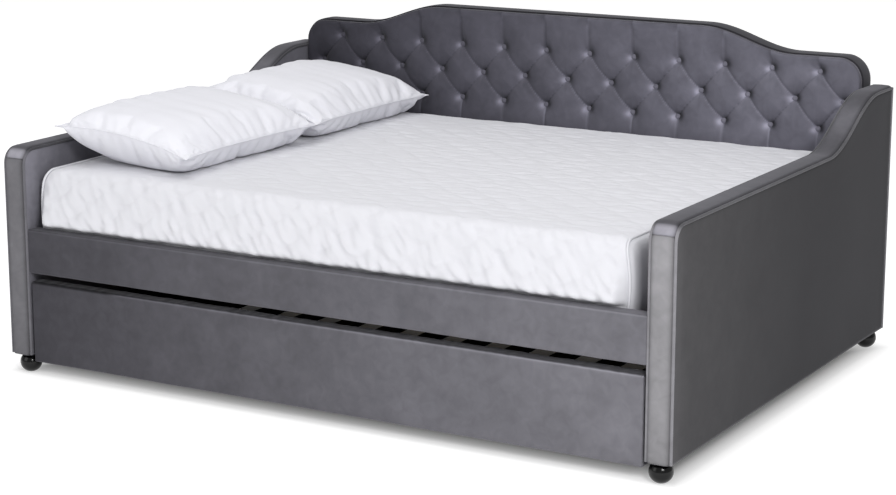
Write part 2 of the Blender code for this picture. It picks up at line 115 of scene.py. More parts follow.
def deselect():
    """Operators act on all that is selected, so each piece starts with nothing selected."""
    bpy.ops.object.select_all(action="DESELECT")


lamp("key_lamp", (3.9, -4.0, 3.1), (0.2, 0, 0.5), 1.6, KEY_WATTS)
lamp("fill_lamp", (-3.0, -5.0, 2.4), (0, 0, 0.5), 3.0, FILL_WATTS)
lamp("overhead_lamp", (0, -0.5, 4.2), (0, 0, 0), 3.5, OVERHEAD_WATTS)
world = bpy.data.worlds.new("white_surround")
bpy.context.scene.world = world
world.use_nodes = True
world.node_tree.nodes["Background"].inputs["Color"].default_value = (1, 1, 1, 1)
world.node_tree.nodes["Background"].inputs["Strength"].default_value = SURROUND_STRENGTH
bpy.context.scene.view_settings.view_transform = "Standard"
deselect()
bpy.ops.mesh.primitive_plane_add(size=60, location=(0, 0, -0.5 * MM))
floor = bpy.context.object
floor.name = "floor"

# %% [markdown]
# ## Materials
#
# Each finish starts from what the real one is. Colours are given as sRGB hex values, as a colour
# picker shows them, and one function turns them to the linear values that the shader needs. One
# small function adds a node, sets its sockets and links them.

# %% Material helpers
SIDEWAYS, DEEP, UPWARD = 0, 1, 2


def colour(code):
    """sRGB hex, such as 7a797e, to linear red, green, blue and alpha."""
    parts = [int(code[place:place + 2], 16) / 255 for place in (0, 2, 4)]
    linear = [part / 12.92 if part <= 0.04045 else ((part + 0.055) / 1.055) ** 2.4
              for part in parts]
    return (*linear, 1.0)


def node(tree, kind, settings=None, **sockets):
    """Add a node; a socket is given a value, or another node's output to link."""
    made = tree.nodes.new(kind)
    for name, value in (settings or {}).items():
        setattr(made, name, value)
    for name, value in sockets.items():
        socket = made.inputs[int(name[1:])] if name[1:].isdigit() else made.inputs[
            name.replace("_", " ")]
        if isinstance(value, bpy.types.NodeSocket):
            tree.links.new(value, socket)
        else:
            socket.default_value = value
    return made


def material(name, **sockets):
    """A Principled material; returns it with its node tree and shader."""
    made = bpy.data.materials.new(name)
    made.use_nodes = True
    shader = made.node_tree.nodes["Principled BSDF"]
    for socket, value in sockets.items():
        shader.inputs[socket.replace("_", " ")].default_value = value
    print("material", name)
    return made, made.node_tree, shader


def bump(tree, shader, height, strength, depth):
    """Raise a surface by a pattern, depth metres high."""
    made = node(tree, "ShaderNodeBump", Strength=strength, Distance=depth, Height=height)
    tree.links.new(made.outputs["Normal"], shader.inputs["Normal"])


# %% [markdown]
# ### Floor paint
#
# A white studio floor is lit from below as well. Here the paint glows, a painted light, but only
# outside the bed's outline: the glow starts a little inside each edge and is full a little outside
# it. So the floor is white all round, the fading glow paints the soft shadow along the edges, and no
# light comes up inside the bed.

# %% Floor paint
# The floor's glow is painted light; its fade at the bed's outline paints the contact shadow.
GLOW = 0.72
PAINTED_SHADOW_BANDS = ((SIDEWAYS, 1.02, 1.21), (DEEP, 0.62, 0.93))
floor_paint, tree, shader = material("lit_white_acrylic", Base_Color=colour("d0d0d0"), Roughness=0.9,
                                     Specular_IOR_Level=0.1, Emission_Color=(1, 1, 1, 1))
place = node(tree, "ShaderNodeTexCoord").outputs["Object"]
parts = node(tree, "ShaderNodeSeparateXYZ", Vector=place)
shares = []
for axis, dark_until, light_from in PAINTED_SHADOW_BANDS:
    reach = node(tree, "ShaderNodeMath", {"operation": "ABSOLUTE"}, _0=parts.outputs[axis])
    share = node(tree, "ShaderNodeMapRange", Value=reach.outputs[0], From_Min=dark_until,
                 From_Max=light_from)
    shares.append(share.outputs[0])
far = node(tree, "ShaderNodeMath", {"operation": "MAXIMUM"}, _0=shares[0], _1=shares[1])
glow = node(tree, "ShaderNodeMapRange", {"interpolation_type": "SMOOTHSTEP"},
            Value=far.outputs[0], To_Min=0.0, To_Max=GLOW)
tree.links.new(glow.outputs[0], shader.inputs["Emission Strength"])
floor.data.materials.append(floor_paint)

# %% [markdown]
# ### Velvet
#
# Polyester velvet: a knitted ground with a dense 2 mm pile. Real pile looks light or dark with the
# angle it is lit and seen at; here that is painted into the colour. Hands and cutting leave soft
# patches. Each panel gets its own pair of colours, a lit or shaded copy of the same velvet, blended
# along one direction as painted light and shade, then mottled at 160 mm and 35 mm. Sheen gives the
# pale rim that pile shows at a flat angle. Single hairs are too fine to show, so the grain is drawn
# at 2.5 mm.

# %% Velvet
PATCH_SIZE, MARK_SIZE, GRAIN_SIZE = 160 * MM, 35 * MM, 2.5 * MM


def velvet(name, low_code, high_code, axis=SIDEWAYS, reach=None):
    """Velvet whose colour runs from low to high along one axis of the bed: painted shading."""
    made, tree, shader = material(name, Roughness=0.92, Specular_IOR_Level=0.15, Sheen_Weight=0.22,
                                  Sheen_Roughness=0.4, Sheen_Tint=colour("e8e8f0"))
    reach = reach or (cad_bounds[0][axis], cad_bounds[1][axis])
    place = node(tree, "ShaderNodeTexCoord").outputs["Object"]
    parts = node(tree, "ShaderNodeSeparateXYZ", Vector=place)
    share = node(tree, "ShaderNodeMapRange", Value=parts.outputs[axis],
                 From_Min=reach[0], From_Max=reach[1])
    # Painted light and shade: a darker and a lighter copy of the colour, blended across the panel.
    painted_gradient = node(tree, "ShaderNodeMix", {"data_type": "RGBA"}, Factor=share.outputs[0],
               _6=colour(low_code), _7=colour(high_code))
    patches = node(tree, "ShaderNodeTexNoise", Vector=place, Scale=1 / PATCH_SIZE, Detail=3.0,
                   Roughness=0.6)
    marks = node(tree, "ShaderNodeTexNoise", Vector=place, Scale=1 / MARK_SIZE, Detail=2.0,
                 Distortion=0.6)
    patch_gain = node(tree, "ShaderNodeMapRange", Value=patches.outputs[0], From_Min=0.3,
                      From_Max=0.7, To_Min=0.88, To_Max=1.12)
    mark_gain = node(tree, "ShaderNodeMapRange", Value=marks.outputs[0], From_Min=0.3,
                     From_Max=0.7, To_Min=0.92, To_Max=1.08)
    # Painted light and shade stored at each point of the piece.
    painted_shading = node(tree, "ShaderNodeAttribute", {"attribute_name": "painted_shading"})
    gain = node(tree, "ShaderNodeMath", {"operation": "MULTIPLY"}, _0=patch_gain.outputs[0],
                _1=mark_gain.outputs[0])
    gain = node(tree, "ShaderNodeMath", {"operation": "MULTIPLY"}, _0=gain.outputs[0],
                _1=painted_shading.outputs["Fac"])
    mottled = node(tree, "ShaderNodeVectorMath", {"operation": "SCALE"}, _0=painted_gradient.outputs[2],
                   Scale=gain.outputs[0])
    tree.links.new(mottled.outputs[0], shader.inputs["Base Color"])
    grain = node(tree, "ShaderNodeTexNoise", Vector=place, Scale=1 / GRAIN_SIZE, Detail=2.0)
    bump(tree, shader, grain.outputs[0], 0.35, 0.4 * MM)
    return made


# Each pair is a lit or shaded copy of one velvet: painted light and shade.
rail_velvet = velvet("rail_velvet", "3c3b40", "6a696f")
trundle_velvet = velvet("trundle_velvet", "37363b", "6c6b71")
back_velvet = velvet("back_velvet", "35343b", "64636d", reach=(-1.0, 0.65))
strip_velvet = velvet("strip_velvet", "6a696d", "878689")
top_strip_velvet = velvet("top_strip_velvet", "68676d", "66656b")
outer_side_velvet = velvet("outer_side_velvet", "373637", "151415", DEEP, (-0.83, 0.1))
left_side_velvet = velvet("left_side_velvet", "454448", "3c3b40", DEEP)
inner_side_velvet = velvet("inner_side_velvet", "504f55", "65646b", UPWARD)
welt_velvet = velvet("welt_velvet", "5e5d62", "78777b")
edge_shade_velvet = velvet("edge_shade_velvet", "1b1a1e", "2e2d31")
rear_velvet = velvet("rear_velvet", "45444a", "4b4a50")

# %% [markdown]
# ### Cotton
#
# The mattress is covered in a white polyester knit, the pillows in a tighter white cotton. Both
# are nearly white and quite matt, with the thread just showing as a fine grain. Light that goes a
# little way into the white filling softens the shadows in the folds.

# %% Cotton
def cotton(name, code, thread, depth):
    """Matt white cotton; thread is the spacing of its grain and depth the grain's height."""
    made, tree, shader = material(name, Base_Color=colour(code), Roughness=0.85,
                                  Specular_IOR_Level=0.2, Sheen_Weight=0.1, Sheen_Roughness=0.5)
    place = node(tree, "ShaderNodeTexCoord").outputs["Object"]
    weave = node(tree, "ShaderNodeTexNoise", Vector=place, Scale=1 / thread, Detail=1.0)
    bump(tree, shader, weave.outputs[0], 0.3, depth)
    return made


mattress_knit = cotton("mattress_knit", "cfcfd4", 2.0 * MM, 0.3 * MM)
pillow_cotton = cotton("pillow_cotton", "dadae0", 1.2 * MM, 0.15 * MM)

# %% [markdown]
# ### Wood, steel, lacquer and plastic
#
# The slats and boards are planed pine: pale yellow earlywood with narrow brown latewood lines
# along the board. All but the bed's slats is painted black, a painted shade, so the finger gap looks
# dark. The cores are seen only from below, where a black non-woven dust cover is stapled over them.
# The brackets and forks are zinc plated steel with a faint spangle, the feet turned wood under a
# glossy black lacquer with a little orange peel, and the wheels moulded plastic, scuffed dull.

# %% Wood
RING_SIZE, RING_STRETCH = 18 * MM, 0.06
FIBRE_SIZE = 4 * MM


def pine(name, along, dark_line="b98d5a", pale_wood="dcbd8e", shine=0.5):
    """Planed pine with its grain along one axis; growth lines are about 9 mm apart."""
    made, tree, shader = material(name, Roughness=0.6, Specular_IOR_Level=shine)
    place = node(tree, "ShaderNodeTexCoord").outputs["Object"]
    stretch = [1.0, 1.0, 1.0]
    stretch[along] = RING_STRETCH
    grain_place = node(tree, "ShaderNodeMapping", Vector=place)
    grain_place.inputs["Scale"].default_value = stretch
    rings = node(tree, "ShaderNodeTexNoise", Vector=grain_place.outputs[0], Scale=1 / RING_SIZE,
                 Detail=4.0, Distortion=0.8)
    tint = node(tree, "ShaderNodeValToRGB", Fac=rings.outputs[0])
    tint.color_ramp.elements[0].position = 0.35
    tint.color_ramp.elements[0].color = colour(dark_line)
    tint.color_ramp.elements[1].position = 0.62
    tint.color_ramp.elements[1].color = colour(pale_wood)
    tree.links.new(tint.outputs[0], shader.inputs["Base Color"])
    bump(tree, shader, rings.outputs[0], 0.2, 0.3 * MM)
    return made


pine_across = pine("pine_grain_across", SIDEWAYS)
pine_deep = pine("pine_grain_deep", DEEP)
# Black over a faint grain: a painted shade that makes the finger gap dark.
gap_shade_pine_across = pine("black_gap_shade_pine_across", SIDEWAYS, "060505", "0b0a09", 0.05)
gap_shade_pine_deep = pine("black_gap_shade_pine_deep", DEEP, "060505", "0b0a09", 0.05)
dust_cover, tree, shader = material("black_dust_cover", Base_Color=colour("18181a"), Roughness=0.95,
                                    Specular_IOR_Level=0.1)
place = node(tree, "ShaderNodeTexCoord").outputs["Object"]
fibres = node(tree, "ShaderNodeTexNoise", Vector=place, Scale=1 / FIBRE_SIZE, Detail=3.0)
bump(tree, shader, fibres.outputs[0], 0.3, 0.2 * MM)

# %% Steel, lacquer and plastic
SPANGLE_SIZE, PEEL_SIZE, SCUFF_SIZE = 6 * MM, 6 * MM, 3 * MM
zinc, tree, shader = material("zinc_plated_steel", Base_Color=colour("c4c6c9"), Metallic=1.0)
place = node(tree, "ShaderNodeTexCoord").outputs["Object"]
spangle = node(tree, "ShaderNodeTexNoise", Vector=place, Scale=1 / SPANGLE_SIZE, Detail=2.0)
dullness = node(tree, "ShaderNodeMapRange", Value=spangle.outputs[0], To_Min=0.28, To_Max=0.45)
tree.links.new(dullness.outputs[0], shader.inputs["Roughness"])
black_lacquer, tree, shader = material("black_lacquer", Base_Color=colour("060607"), Roughness=0.16,
                                       Specular_IOR_Level=0.3)
orange_peel = node(tree, "ShaderNodeTexNoise", Scale=1 / PEEL_SIZE,
                   Vector=node(tree, "ShaderNodeTexCoord").outputs["Object"])
bump(tree, shader, orange_peel.outputs[0], 0.05, 0.1 * MM)
caster_plastic, tree, shader = material("moulded_black_plastic", Base_Color=colour("242426"),
                                        Roughness=0.45)
scuffs = node(tree, "ShaderNodeTexNoise", Scale=1 / SCUFF_SIZE,
              Vector=node(tree, "ShaderNodeTexCoord").outputs["Object"])
bump(tree, shader, scuffs.outputs[0], 0.1, 0.1 * MM)

# %% [markdown]
# ### Finishes for the carried-over parts
#
# The boards, slats, brackets, legs, forks and wheels keep the shape that the frame gives them, so
# each only gets the material of its kind. Grain runs along the board.

# %% Dress the CAD nodes
# Parts coloured black, a painted shade for the finger gap.
GAP_SHADE_DEEP = ("trundle_left", "trundle_right", "left_caster_rail", "right_caster_rail",
                "trundle_slat_roll")
GAP_SHADE_ACROSS = ("trundle_rear", "trundle_front", "front_ledger", "rear_rail", "rear_ledger",
                  "support_beam")


def cad_material(name):
    """The finish of a carried-over part, told by its name."""
    if name.endswith("_core") and not name.startswith("trundle"):
        return dust_cover
    if "bracket" in name or "fork" in name:
        return zinc
    if name.endswith("_foot"):
        return black_lacquer
    if name.endswith("_wheel") or name.startswith("beam_leg"):
        return caster_plastic
    if name.startswith(GAP_SHADE_DEEP):
        return gap_shade_pine_deep
    if name.startswith(GAP_SHADE_ACROSS):
        return gap_shade_pine_across
    return pine_deep if name.startswith("slat_") else pine_across


for name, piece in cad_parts.items():
    piece.data.materials.clear()
    piece.data.materials.append(cad_material(name))
print(len(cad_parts), "frame parts dressed")

# %% [markdown]
# ## Helpers for soft surfaces
#
# Every padded panel starts as a flat grid. Its points are carried to their place by a formula of
# two shares, u across and v up, each from 0 to 1, and the sheet is then given its thickness. A
# factor stored at each point paints light and shade into the velvet's colour there.

# %% Points and grids
def points_of(piece):
    """The mesh's points, one row each."""
    flat = np.empty(len(piece.data.vertices) * 3)
    piece.data.vertices.foreach_get("co", flat)
    return flat.reshape(-1, 3)


def move_points(piece, points):
    """Put the mesh's points at new places."""
    piece.data.vertices.foreach_set("co", np.asarray(points, float).ravel())
    piece.data.update()


def paint_shading(piece, values):
    """Store the painted light and shade at each point, a factor on the colour."""
    layer = piece.data.attributes.new("painted_shading", "FLOAT", "POINT")
    layer.data.foreach_set("value", np.asarray(values, float).ravel())


def grid(name, across, up, place):
    """A grid of squares whose points go to place(u, v); a fourth value is the painted shading."""
    deselect()
    bpy.ops.mesh.primitive_grid_add(x_subdivisions=across, y_subdivisions=up, size=1)
    piece = bpy.context.object
    piece.name = name
    shares = points_of(piece)[:, :2] + 0.5
    placed = place(shares[:, 0], shares[:, 1])
    move_points(piece, np.column_stack(placed[:3]))
    if len(placed) > 3:
        paint_shading(piece, placed[3])
    return piece


# %% Walls, joins and seams
def pick(piece):
    """Select one piece alone and make it the active one."""
    deselect()
    piece.select_set(True)
    bpy.context.view_layer.objects.active = piece


def apply_all(piece):
    """Make every modifier part of the mesh."""
    pick(piece)
    for modifier in list(piece.modifiers):
        bpy.ops.object.modifier_apply(modifier=modifier.name)


def thicken(piece, thickness):
    """Give a sheet its wall, on its inner side."""
    wall = piece.modifiers.new("wall", "SOLIDIFY")
    wall.thickness = thickness
    wall.offset = -1
    apply_all(piece)


def join(first, others):
    """Make several pieces one, under the first one's name."""
    pick(first)
    for piece in others:
        piece.select_set(True)
    bpy.ops.object.join()
    return first


def weld(piece, distance, outward=False):
    """Merge points that lie within a distance; on request, turn the faces outwards."""
    pick(piece)
    bpy.ops.object.mode_set(mode="EDIT")
    bpy.ops.mesh.select_all(action="SELECT")
    bpy.ops.mesh.remove_doubles(threshold=distance)
    if outward:
        bpy.ops.mesh.normals_make_consistent(inside=False)
    bpy.ops.object.mode_set(mode="OBJECT")
    return piece


# %% Finish a piece
def finish_piece(piece, look, body, replaced=()):
    """Material, smooth shading, body and what it stands for."""
    piece.data.materials.clear()
    piece.data.materials.append(look)
    piece.data.shade_smooth()
    if "painted_shading" not in piece.data.attributes:
        paint_shading(piece, np.ones(len(piece.data.vertices)))
    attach(piece, body)
    if replaced:
        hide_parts(*replaced)
    print(piece.name, len(piece.data.polygons), "faces")
    return piece


# %% Waves, ramps and round edges
def ripple(points, size, seed=0.0):
    """Smooth noise of about one wave per size, from -1 to 1, at each point."""
    return np.array([noise.noise(Vector(point) / size + Vector((seed, seed, seed)))
                     for point in points])


def ramp(value, over):
    """0 below 0, then rising evenly to 1 over a stretch."""
    return np.clip(value / over, 0, 1)


def ease(share):
    """From 0 to 1 with a soft start and a soft end."""
    return (1 - np.cos(np.pi * np.clip(share, 0, 1))) / 2


def fade(gap, strength, reach):
    """A strength that fades with the distance from an edge."""
    return strength * np.exp(-gap / reach)


def rounding(distance, radius):
    """How far a surface falls back at a distance from its edge, for a round edge."""
    inside = np.clip(1 - distance / radius, 0, 1)
    return radius * (1 - np.sqrt(1 - inside ** 2))


# %% [markdown]
# ## Outlines
#
# Two outlines give the bed its look. An arm is level, with a round front corner and an S that
# climbs to the back. The back has round shoulders and an S up to a flat crest. Their overall
# sizes come from the frame; the lengths of the curves are the designer's choice.

# %% Measure the arms and the back
ARM_CORNER = 0.050
ARM_SWEEP = 0.415
ARM_SWEEP_TO_REAR = 0.132
CREST_RISE = 0.074
CREST_HALF = 0.498
CREST_SWEEP = 0.326
BACK_CORNER = 0.075

arm_low, arm_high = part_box("right_arm_cover")
arm_points = points_of(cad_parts["right_arm_cover"])
arm_flat = float(arm_points[arm_points[:, 1] < arm_low.y + 0.4, 2].max())
arm_thick = arm_high.x - arm_low.x
pad_low, pad_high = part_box("tufted_back_pad")
back_shoulder = pad_high.z - CREST_RISE
print("arm flat at", round(arm_flat, 4), "rear at", round(arm_high.z, 4), "thick", round(arm_thick, 4))


def arm_top(depth):
    """Height of the arm's top edge at a depth Y."""
    from_front = np.clip(depth - arm_low.y, 0, None)
    corner = np.clip(ARM_CORNER - from_front, 0, ARM_CORNER)
    level = arm_flat - ARM_CORNER + np.sqrt(ARM_CORNER ** 2 - corner ** 2)
    start = arm_high.y - ARM_SWEEP_TO_REAR - ARM_SWEEP
    return level + (arm_high.z - arm_flat) * ease((depth - start) / ARM_SWEEP)


def back_top(across):
    """Height of the back's top edge at a place X."""
    from_edge = np.clip(pad_high.x - np.abs(across), 0, None)
    corner = np.clip(BACK_CORNER - from_edge, 0, BACK_CORNER)
    level = back_shoulder - BACK_CORNER + np.sqrt(BACK_CORNER ** 2 - corner ** 2)
    return level + CREST_RISE * ease((CREST_HALF + CREST_SWEEP - np.abs(across)) / CREST_SWEEP)


# %% [markdown]
# ## Paths round the outlines
#
# The strip between the two rows of piping and the piping itself both follow the outline, so they
# are swept along a path. The path is sampled evenly, and its outward direction is the tangent
# turned a quarter.

# %% Path helpers
class Path:
    """A chain of points in a plane, read by its length."""

    def __init__(self, points):
        self.points = np.array(points, float)
        steps = np.hypot(*np.diff(self.points, axis=0).T)
        self.marks = np.concatenate([[0], np.cumsum(steps)])
        self.length = self.marks[-1]

    def at(self, distance):
        return np.column_stack([np.interp(distance, self.marks, self.points[:, part])
                                for part in (0, 1)])

    def outward(self, distance, span=0.004):
        ahead = self.at(np.clip(distance + span, 0, self.length))
        behind = self.at(np.clip(distance - span, 0, self.length))
        along = ahead - behind
        along /= np.maximum(np.hypot(along[:, 0], along[:, 1]), 1e-9)[:, None]
        return np.column_stack([-along[:, 1], along[:, 0]])


def arc(centre, radius, start, end, steps=12):
    """Points on part of a circle; the angles are in degrees."""
    angles = np.radians(np.linspace(start, end, steps))
    return [(centre[0] + radius * math.cos(a), centre[1] + radius * math.sin(a)) for a in angles]


ARM_REAR_CORNER = 0.004


def arm_path():
    """Up the front, over the corner, along the top, up the S and down the rear, in Y and Z."""
    front, rear = arm_low.y, arm_high.y
    points = [(front, arm_low.z)]
    points += arc((front + ARM_CORNER, arm_flat - ARM_CORNER), ARM_CORNER, 180, 90)
    start = rear - ARM_SWEEP_TO_REAR - ARM_SWEEP
    points += [(depth, float(arm_top(depth))) for depth in np.linspace(start, start + ARM_SWEEP, 41)]
    points += arc((rear - ARM_REAR_CORNER, arm_high.z - ARM_REAR_CORNER), ARM_REAR_CORNER, 90, 0, 6)
    points.append((rear, arm_low.z))
    return Path(points)


def back_path(low):
    """Up the left edge, over the shoulders and the crest, and down the right, in X and Z."""
    half = pad_high.x
    left = [(-half, low)]
    left += arc((-half + BACK_CORNER, back_shoulder - BACK_CORNER), BACK_CORNER, 180, 90)
    left += [(-across, float(back_top(across)))
             for across in np.linspace(CREST_HALF + CREST_SWEEP, CREST_HALF, 31)]
    return Path(left + [(-across, up) for across, up in reversed(left)])


ARM_PATH = arm_path()
BACK_PATH = back_path(pad_low.z)
print("arm outline", round(ARM_PATH.length, 3), "m; back outline", round(BACK_PATH.length, 3), "m")


# %% [markdown]
# ## Piping
#
# Piping is a cord of about 4 mm inside a folded strip of velvet, sewn into a seam, so what shows
# is a roll of 8 to 9 mm. It is a curve with a round bevel, made a mesh. Its line is drawn in by
# one radius from the outline, so that it ends flush with it.

# %% Piping
WELT_RADIUS = 4.5 * MM
WELT_STEP = 12 * MM
# Painted light and shade on the piping, by the way its edge faces.
WELT_DARK, WELT_GAIN = 0.42, 0.68
LEVEL_FROM, LEVEL_OVER = 0.70, 0.25
REAR_SHADE = 0.6


def tube(name, line, radius, sides=3):
    """A round roll along a line of points in space."""
    data = bpy.data.curves.new(name, "CURVE")
    data.dimensions = "3D"
    data.bevel_depth = radius
    data.bevel_resolution = sides
    data.use_fill_caps = True
    spline = data.splines.new("POLY")
    spline.points.add(len(line) - 1)
    for point, place in zip(spline.points, line):
        point.co = (*place, 1)
    made = bpy.data.objects.new(name, data)
    bpy.context.scene.collection.objects.link(made)
    pick(made)
    bpy.ops.object.convert(target="MESH")
    return weld(bpy.context.object, 0.01 * MM, outward=True)


def welt_line(path, inset):
    """The line of a roll of piping, drawn in from the outline."""
    distance = np.linspace(0, path.length, int(path.length / WELT_STEP))
    return path.at(distance) - inset * path.outward(distance)


def facing_light(depth, up):
    """Painted light where the arm's edge faces the front, painted shade where it is level."""
    points = np.column_stack([depth, up])
    marks = np.linspace(0, ARM_PATH.length, 700)
    chain = ARM_PATH.at(marks)
    nearest = np.array([np.argmin(((chain - point) ** 2).sum(1)) for point in points])
    out = ARM_PATH.outward(marks[nearest])
    level = ramp(out[:, 1] - LEVEL_FROM, LEVEL_OVER)
    rear = out[:, 0] > 0.5
    return np.where(rear, REAR_SHADE, 1 - level * level * (3 - 2 * level))


for side, sign in (("left", -1), ("right", 1)):
    middle = sign * (arm_low.x + arm_high.x) / 2
    for face, way in (("outer", sign), ("inner", -sign)):
        across = middle + way * (arm_thick / 2 - WELT_RADIUS * 0.9)
        line = [(across, depth, up) for depth, up in welt_line(ARM_PATH, WELT_RADIUS)]
        welt = tube(f"{side}_arm_{face}_welt", line, WELT_RADIUS)
        spots = points_of(welt)
        # Painted light and shade: light where the piping faces the front, dark where level or at the
        # rear.
        paint_shading(welt, WELT_DARK + WELT_GAIN * facing_light(spots[:, 1], spots[:, 2]))
        finish_piece(welt, welt_velvet, "daybed")

# %% [markdown]
# ## Arm panels
#
# Each arm has a velvet side panel over thin foam on its outer and on its inner face. The panel is
# nearly flat: it rises about 3 mm from the piping within a few centimetres, and long soft waves
# from the stretched cloth break up the plane. The sheet is as thick as the foam, so that the board
# inside is covered when seen from below. The grid's columns stand closer together at the front,
# where the round corner needs them, and there the colour has a painted highlight; along the seams
# it has painted shade.

# %% Arm side panels
PANEL_FOAM = 11 * MM
PANEL_EDGE = 9 * MM
SIDE_WAVES = 1.3 * MM
TO_THE_FRONT = 1.35
OUTER_GLEAM, INNER_GLEAM = (0.5, 50 * MM), (0.8, 100 * MM)
PANEL_SEAM_SHADE = (0.45, 5 * MM)


def arm_panel(name, plane, way, look):
    """One side of an arm: plane is its X, way is -1 or 1 for where it faces."""
    inset = WELT_RADIUS

    def place(u, v):
        share = u if way > 0 else 1 - u
        bent = share ** TO_THE_FRONT
        depth = arm_low.y + inset + (arm_high.y - arm_low.y - 2 * inset) * bent
        low, high = arm_low.z, arm_top(depth) - inset
        up = low + (high - low) * v
        edge = np.minimum(np.minimum(depth - arm_low.y, arm_high.y - depth), high - up + inset)
        flat = np.column_stack([np.full(len(u), plane), depth, up])
        waves = ripple(flat * [1, 1, 0.6], 0.28, 3.1 * way + plane)
        lift = SIDE_WAVES * (waves - 0.6) * ramp(edge, 0.05)
        across = plane - way * (rounding(edge, PANEL_EDGE) + 1.0 * MM) + way * lift
        # Painted highlight towards the front, painted shade along the seams.
        gleam = OUTER_GLEAM if abs(plane) > (arm_low.x + arm_high.x) / 2 else INNER_GLEAM
        painted_shading = 1 + fade(depth - arm_low.y, *gleam)
        return across, depth, up, painted_shading * (1 - fade(edge, *PANEL_SEAM_SHADE))

    made = grid(name, 200, 90, place)
    thicken(made, PANEL_FOAM)
    return finish_piece(made, look, "daybed")


for side, sign in (("left", -1), ("right", 1)):
    outer = sign * arm_high.x
    inner = sign * arm_low.x
    look = outer_side_velvet if side == "right" else left_side_velvet
    piece = arm_panel(f"{side}_arm_outer_panel", outer, sign, look)
    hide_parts(f"{side}_arm_cover")
    arm_panel(f"{side}_arm_inner_panel", inner, -sign, inner_side_velvet)

# %% [markdown]
# ## Boxing strips
#
# A long strip of velvet closes each arm between its two rows of piping. The front facing is a
# separate piece, in a lighter colour that is painted light. It ends in a level seam just under the
# round corner, where the top strip begins.

# %% Boxing strips
FACING_TOP = 0.686
STRIP_CROWN = 1.5 * MM
STRIP_SINK = 1.8 * MM
STRIP_EDGE = 5.0 * MM
SEAM_TUCK = (3.0 * MM, 2.5 * MM)
SIDE_SHADE, SEAM_SHADE = (0.65, 3.5 * MM), (0.45, 3 * MM)
# Painted shade at the facing's foot; painted light and shade on the top strip by where it faces.
FACING_FOOT, TOP_DARK, TOP_GAIN = 0.87, 0.55, 1.65
STRIP_STEP = 5 * MM


def boxing(name, middle, start, end, look):
    """A length of strip between two marks on the arm's outline; middle is its X."""
    half = arm_thick / 2 - 2.5 * WELT_RADIUS

    def place(u, v):
        distance = start + (end - start) * v
        side_share = np.sin((u - 0.5) * np.pi)
        from_end = np.minimum(distance - start, end - distance)
        from_side = half * (1 - np.abs(side_share))
        lift = STRIP_CROWN * (1 - side_share ** 2) - STRIP_SINK - fade(from_end, *SEAM_TUCK)
        lift = lift - rounding(from_side, STRIP_EDGE)
        spots = ARM_PATH.at(distance)
        out = ARM_PATH.outward(distance)
        flat = np.column_stack([middle + half * side_share, spots])
        lift = lift + 0.7 * MM * ripple(flat, 0.09, 5.0)
        spots = spots + out * lift[:, None]
        # Painted shade along the sides and seams, at the facing's foot and on level top; light facing
        # front.
        painted_shading = 1 - fade(from_side, *SIDE_SHADE) - fade(from_end, *SEAM_SHADE)
        if start == 0:
            painted_shading = painted_shading * (FACING_FOOT + (1 - FACING_FOOT) * v)
        else:
            painted_shading = painted_shading * (TOP_DARK + TOP_GAIN * facing_light(spots[:, 0], spots[:, 1]))
        return middle - half * side_share, spots[:, 0], spots[:, 1], painted_shading

    made = grid(name, 18, int((end - start) / STRIP_STEP), place)
    thicken(made, 5 * MM)
    finish_piece(made, look, "daybed")


facing_length = FACING_TOP - arm_low.z
for side, sign in (("left", -1), ("right", 1)):
    middle = sign * (arm_low.x + arm_high.x) / 2
    boxing(f"{side}_arm_front_facing", middle, 0, facing_length, strip_velvet)
    boxing(f"{side}_arm_top_strip", middle, facing_length, ARM_PATH.length, top_strip_velvet)

# %% [markdown]
# ## The deep-buttoned back
#
# Deep buttoning pulls the velvet through thick foam at a lattice of points. Between the buttons
# the spare cloth is folded into pleats: slanting ones inside the lattice, and straight ones from
# the top row up to the edge and from the bottom row down. So the height of the surface depends on
# two distances only, to the nearest button and to the nearest pleat. At a button it falls in a
# cone with a flat floor; along a pleat it dips in a round-shouldered groove with a crease at the
# bottom, sharpest near the buttons. Light and shade are painted into the colour as well, light on
# the left of each button and nearly black on the right. The painted shading follows a wider pit
# than the cloth, with a painted dark and light spot beside each button.
#
# The sheet is one grid, so every fold is a height at a point. Its rows are coarse where the mattress
# hides the pad and fine above, and its columns are closer together towards the two sides.

# %% Button lattice
BUTTON_STEP = 0.1657
TOP_ROW_BELOW_CREST = 0.125
ROW_STEP = 0.094
ROWS = ((0, 12), (1, 13), (2, 12))
buttons = []
for row, count in ROWS:
    height = pad_high.z - TOP_ROW_BELOW_CREST - row * ROW_STEP
    for number in range(count):
        buttons.append(((number - (count - 1) / 2) * BUTTON_STEP, height, row))
pleats = []
for across, height, row in buttons:
    if row == 0:
        pleats.append((across, height, across, float(back_top(across))))
    if row == 2:
        pleats.append((across, height, across, pad_low.z))
    if row == 1:
        for reach in (-BUTTON_STEP / 2, BUTTON_STEP / 2):
            if abs(across + reach) < pad_high.x - 0.1:
                pleats.append((across, height, across + reach, height + ROW_STEP))
                pleats.append((across, height, across + reach, height - ROW_STEP))
print(len(buttons), "buttons and", len(pleats), "pleats")

# %% Depth of the tufting
CONE_DEPTH, CONE_REACH = 16 * MM, 21 * MM
CONE_FLOOR = 8 * MM
# The wider pit that the painted light and shade follow.
SHADING_PIT_DEPTH, SHADING_PIT_REACH = 26 * MM, 24 * MM
GROOVE_DEPTH, GROOVE_REACH = 6.5 * MM, 52 * MM
CREASE_DEPTH, CREASE_REACH = 2.4 * MM, 7.0 * MM
OVERLAP = 1.2 * MM
PAD_EDGE, PAD_EDGE_BACK = 10 * MM, 12 * MM
# Painted light and shade: gain, step, lamp side, pleat share and painted spots beside buttons.
SHADING_GAIN, SHADING_STEP = 1.45, 4 * MM
LIGHT_SIDE = (0.93, 0.37)
PLEAT_SHADING = 0.7
SPOT_SHIFT, SPOT_SIZE = 12 * MM, 11 * MM
PAINTED_SPOTS = ((1, -1.3), (-1, 0.45))


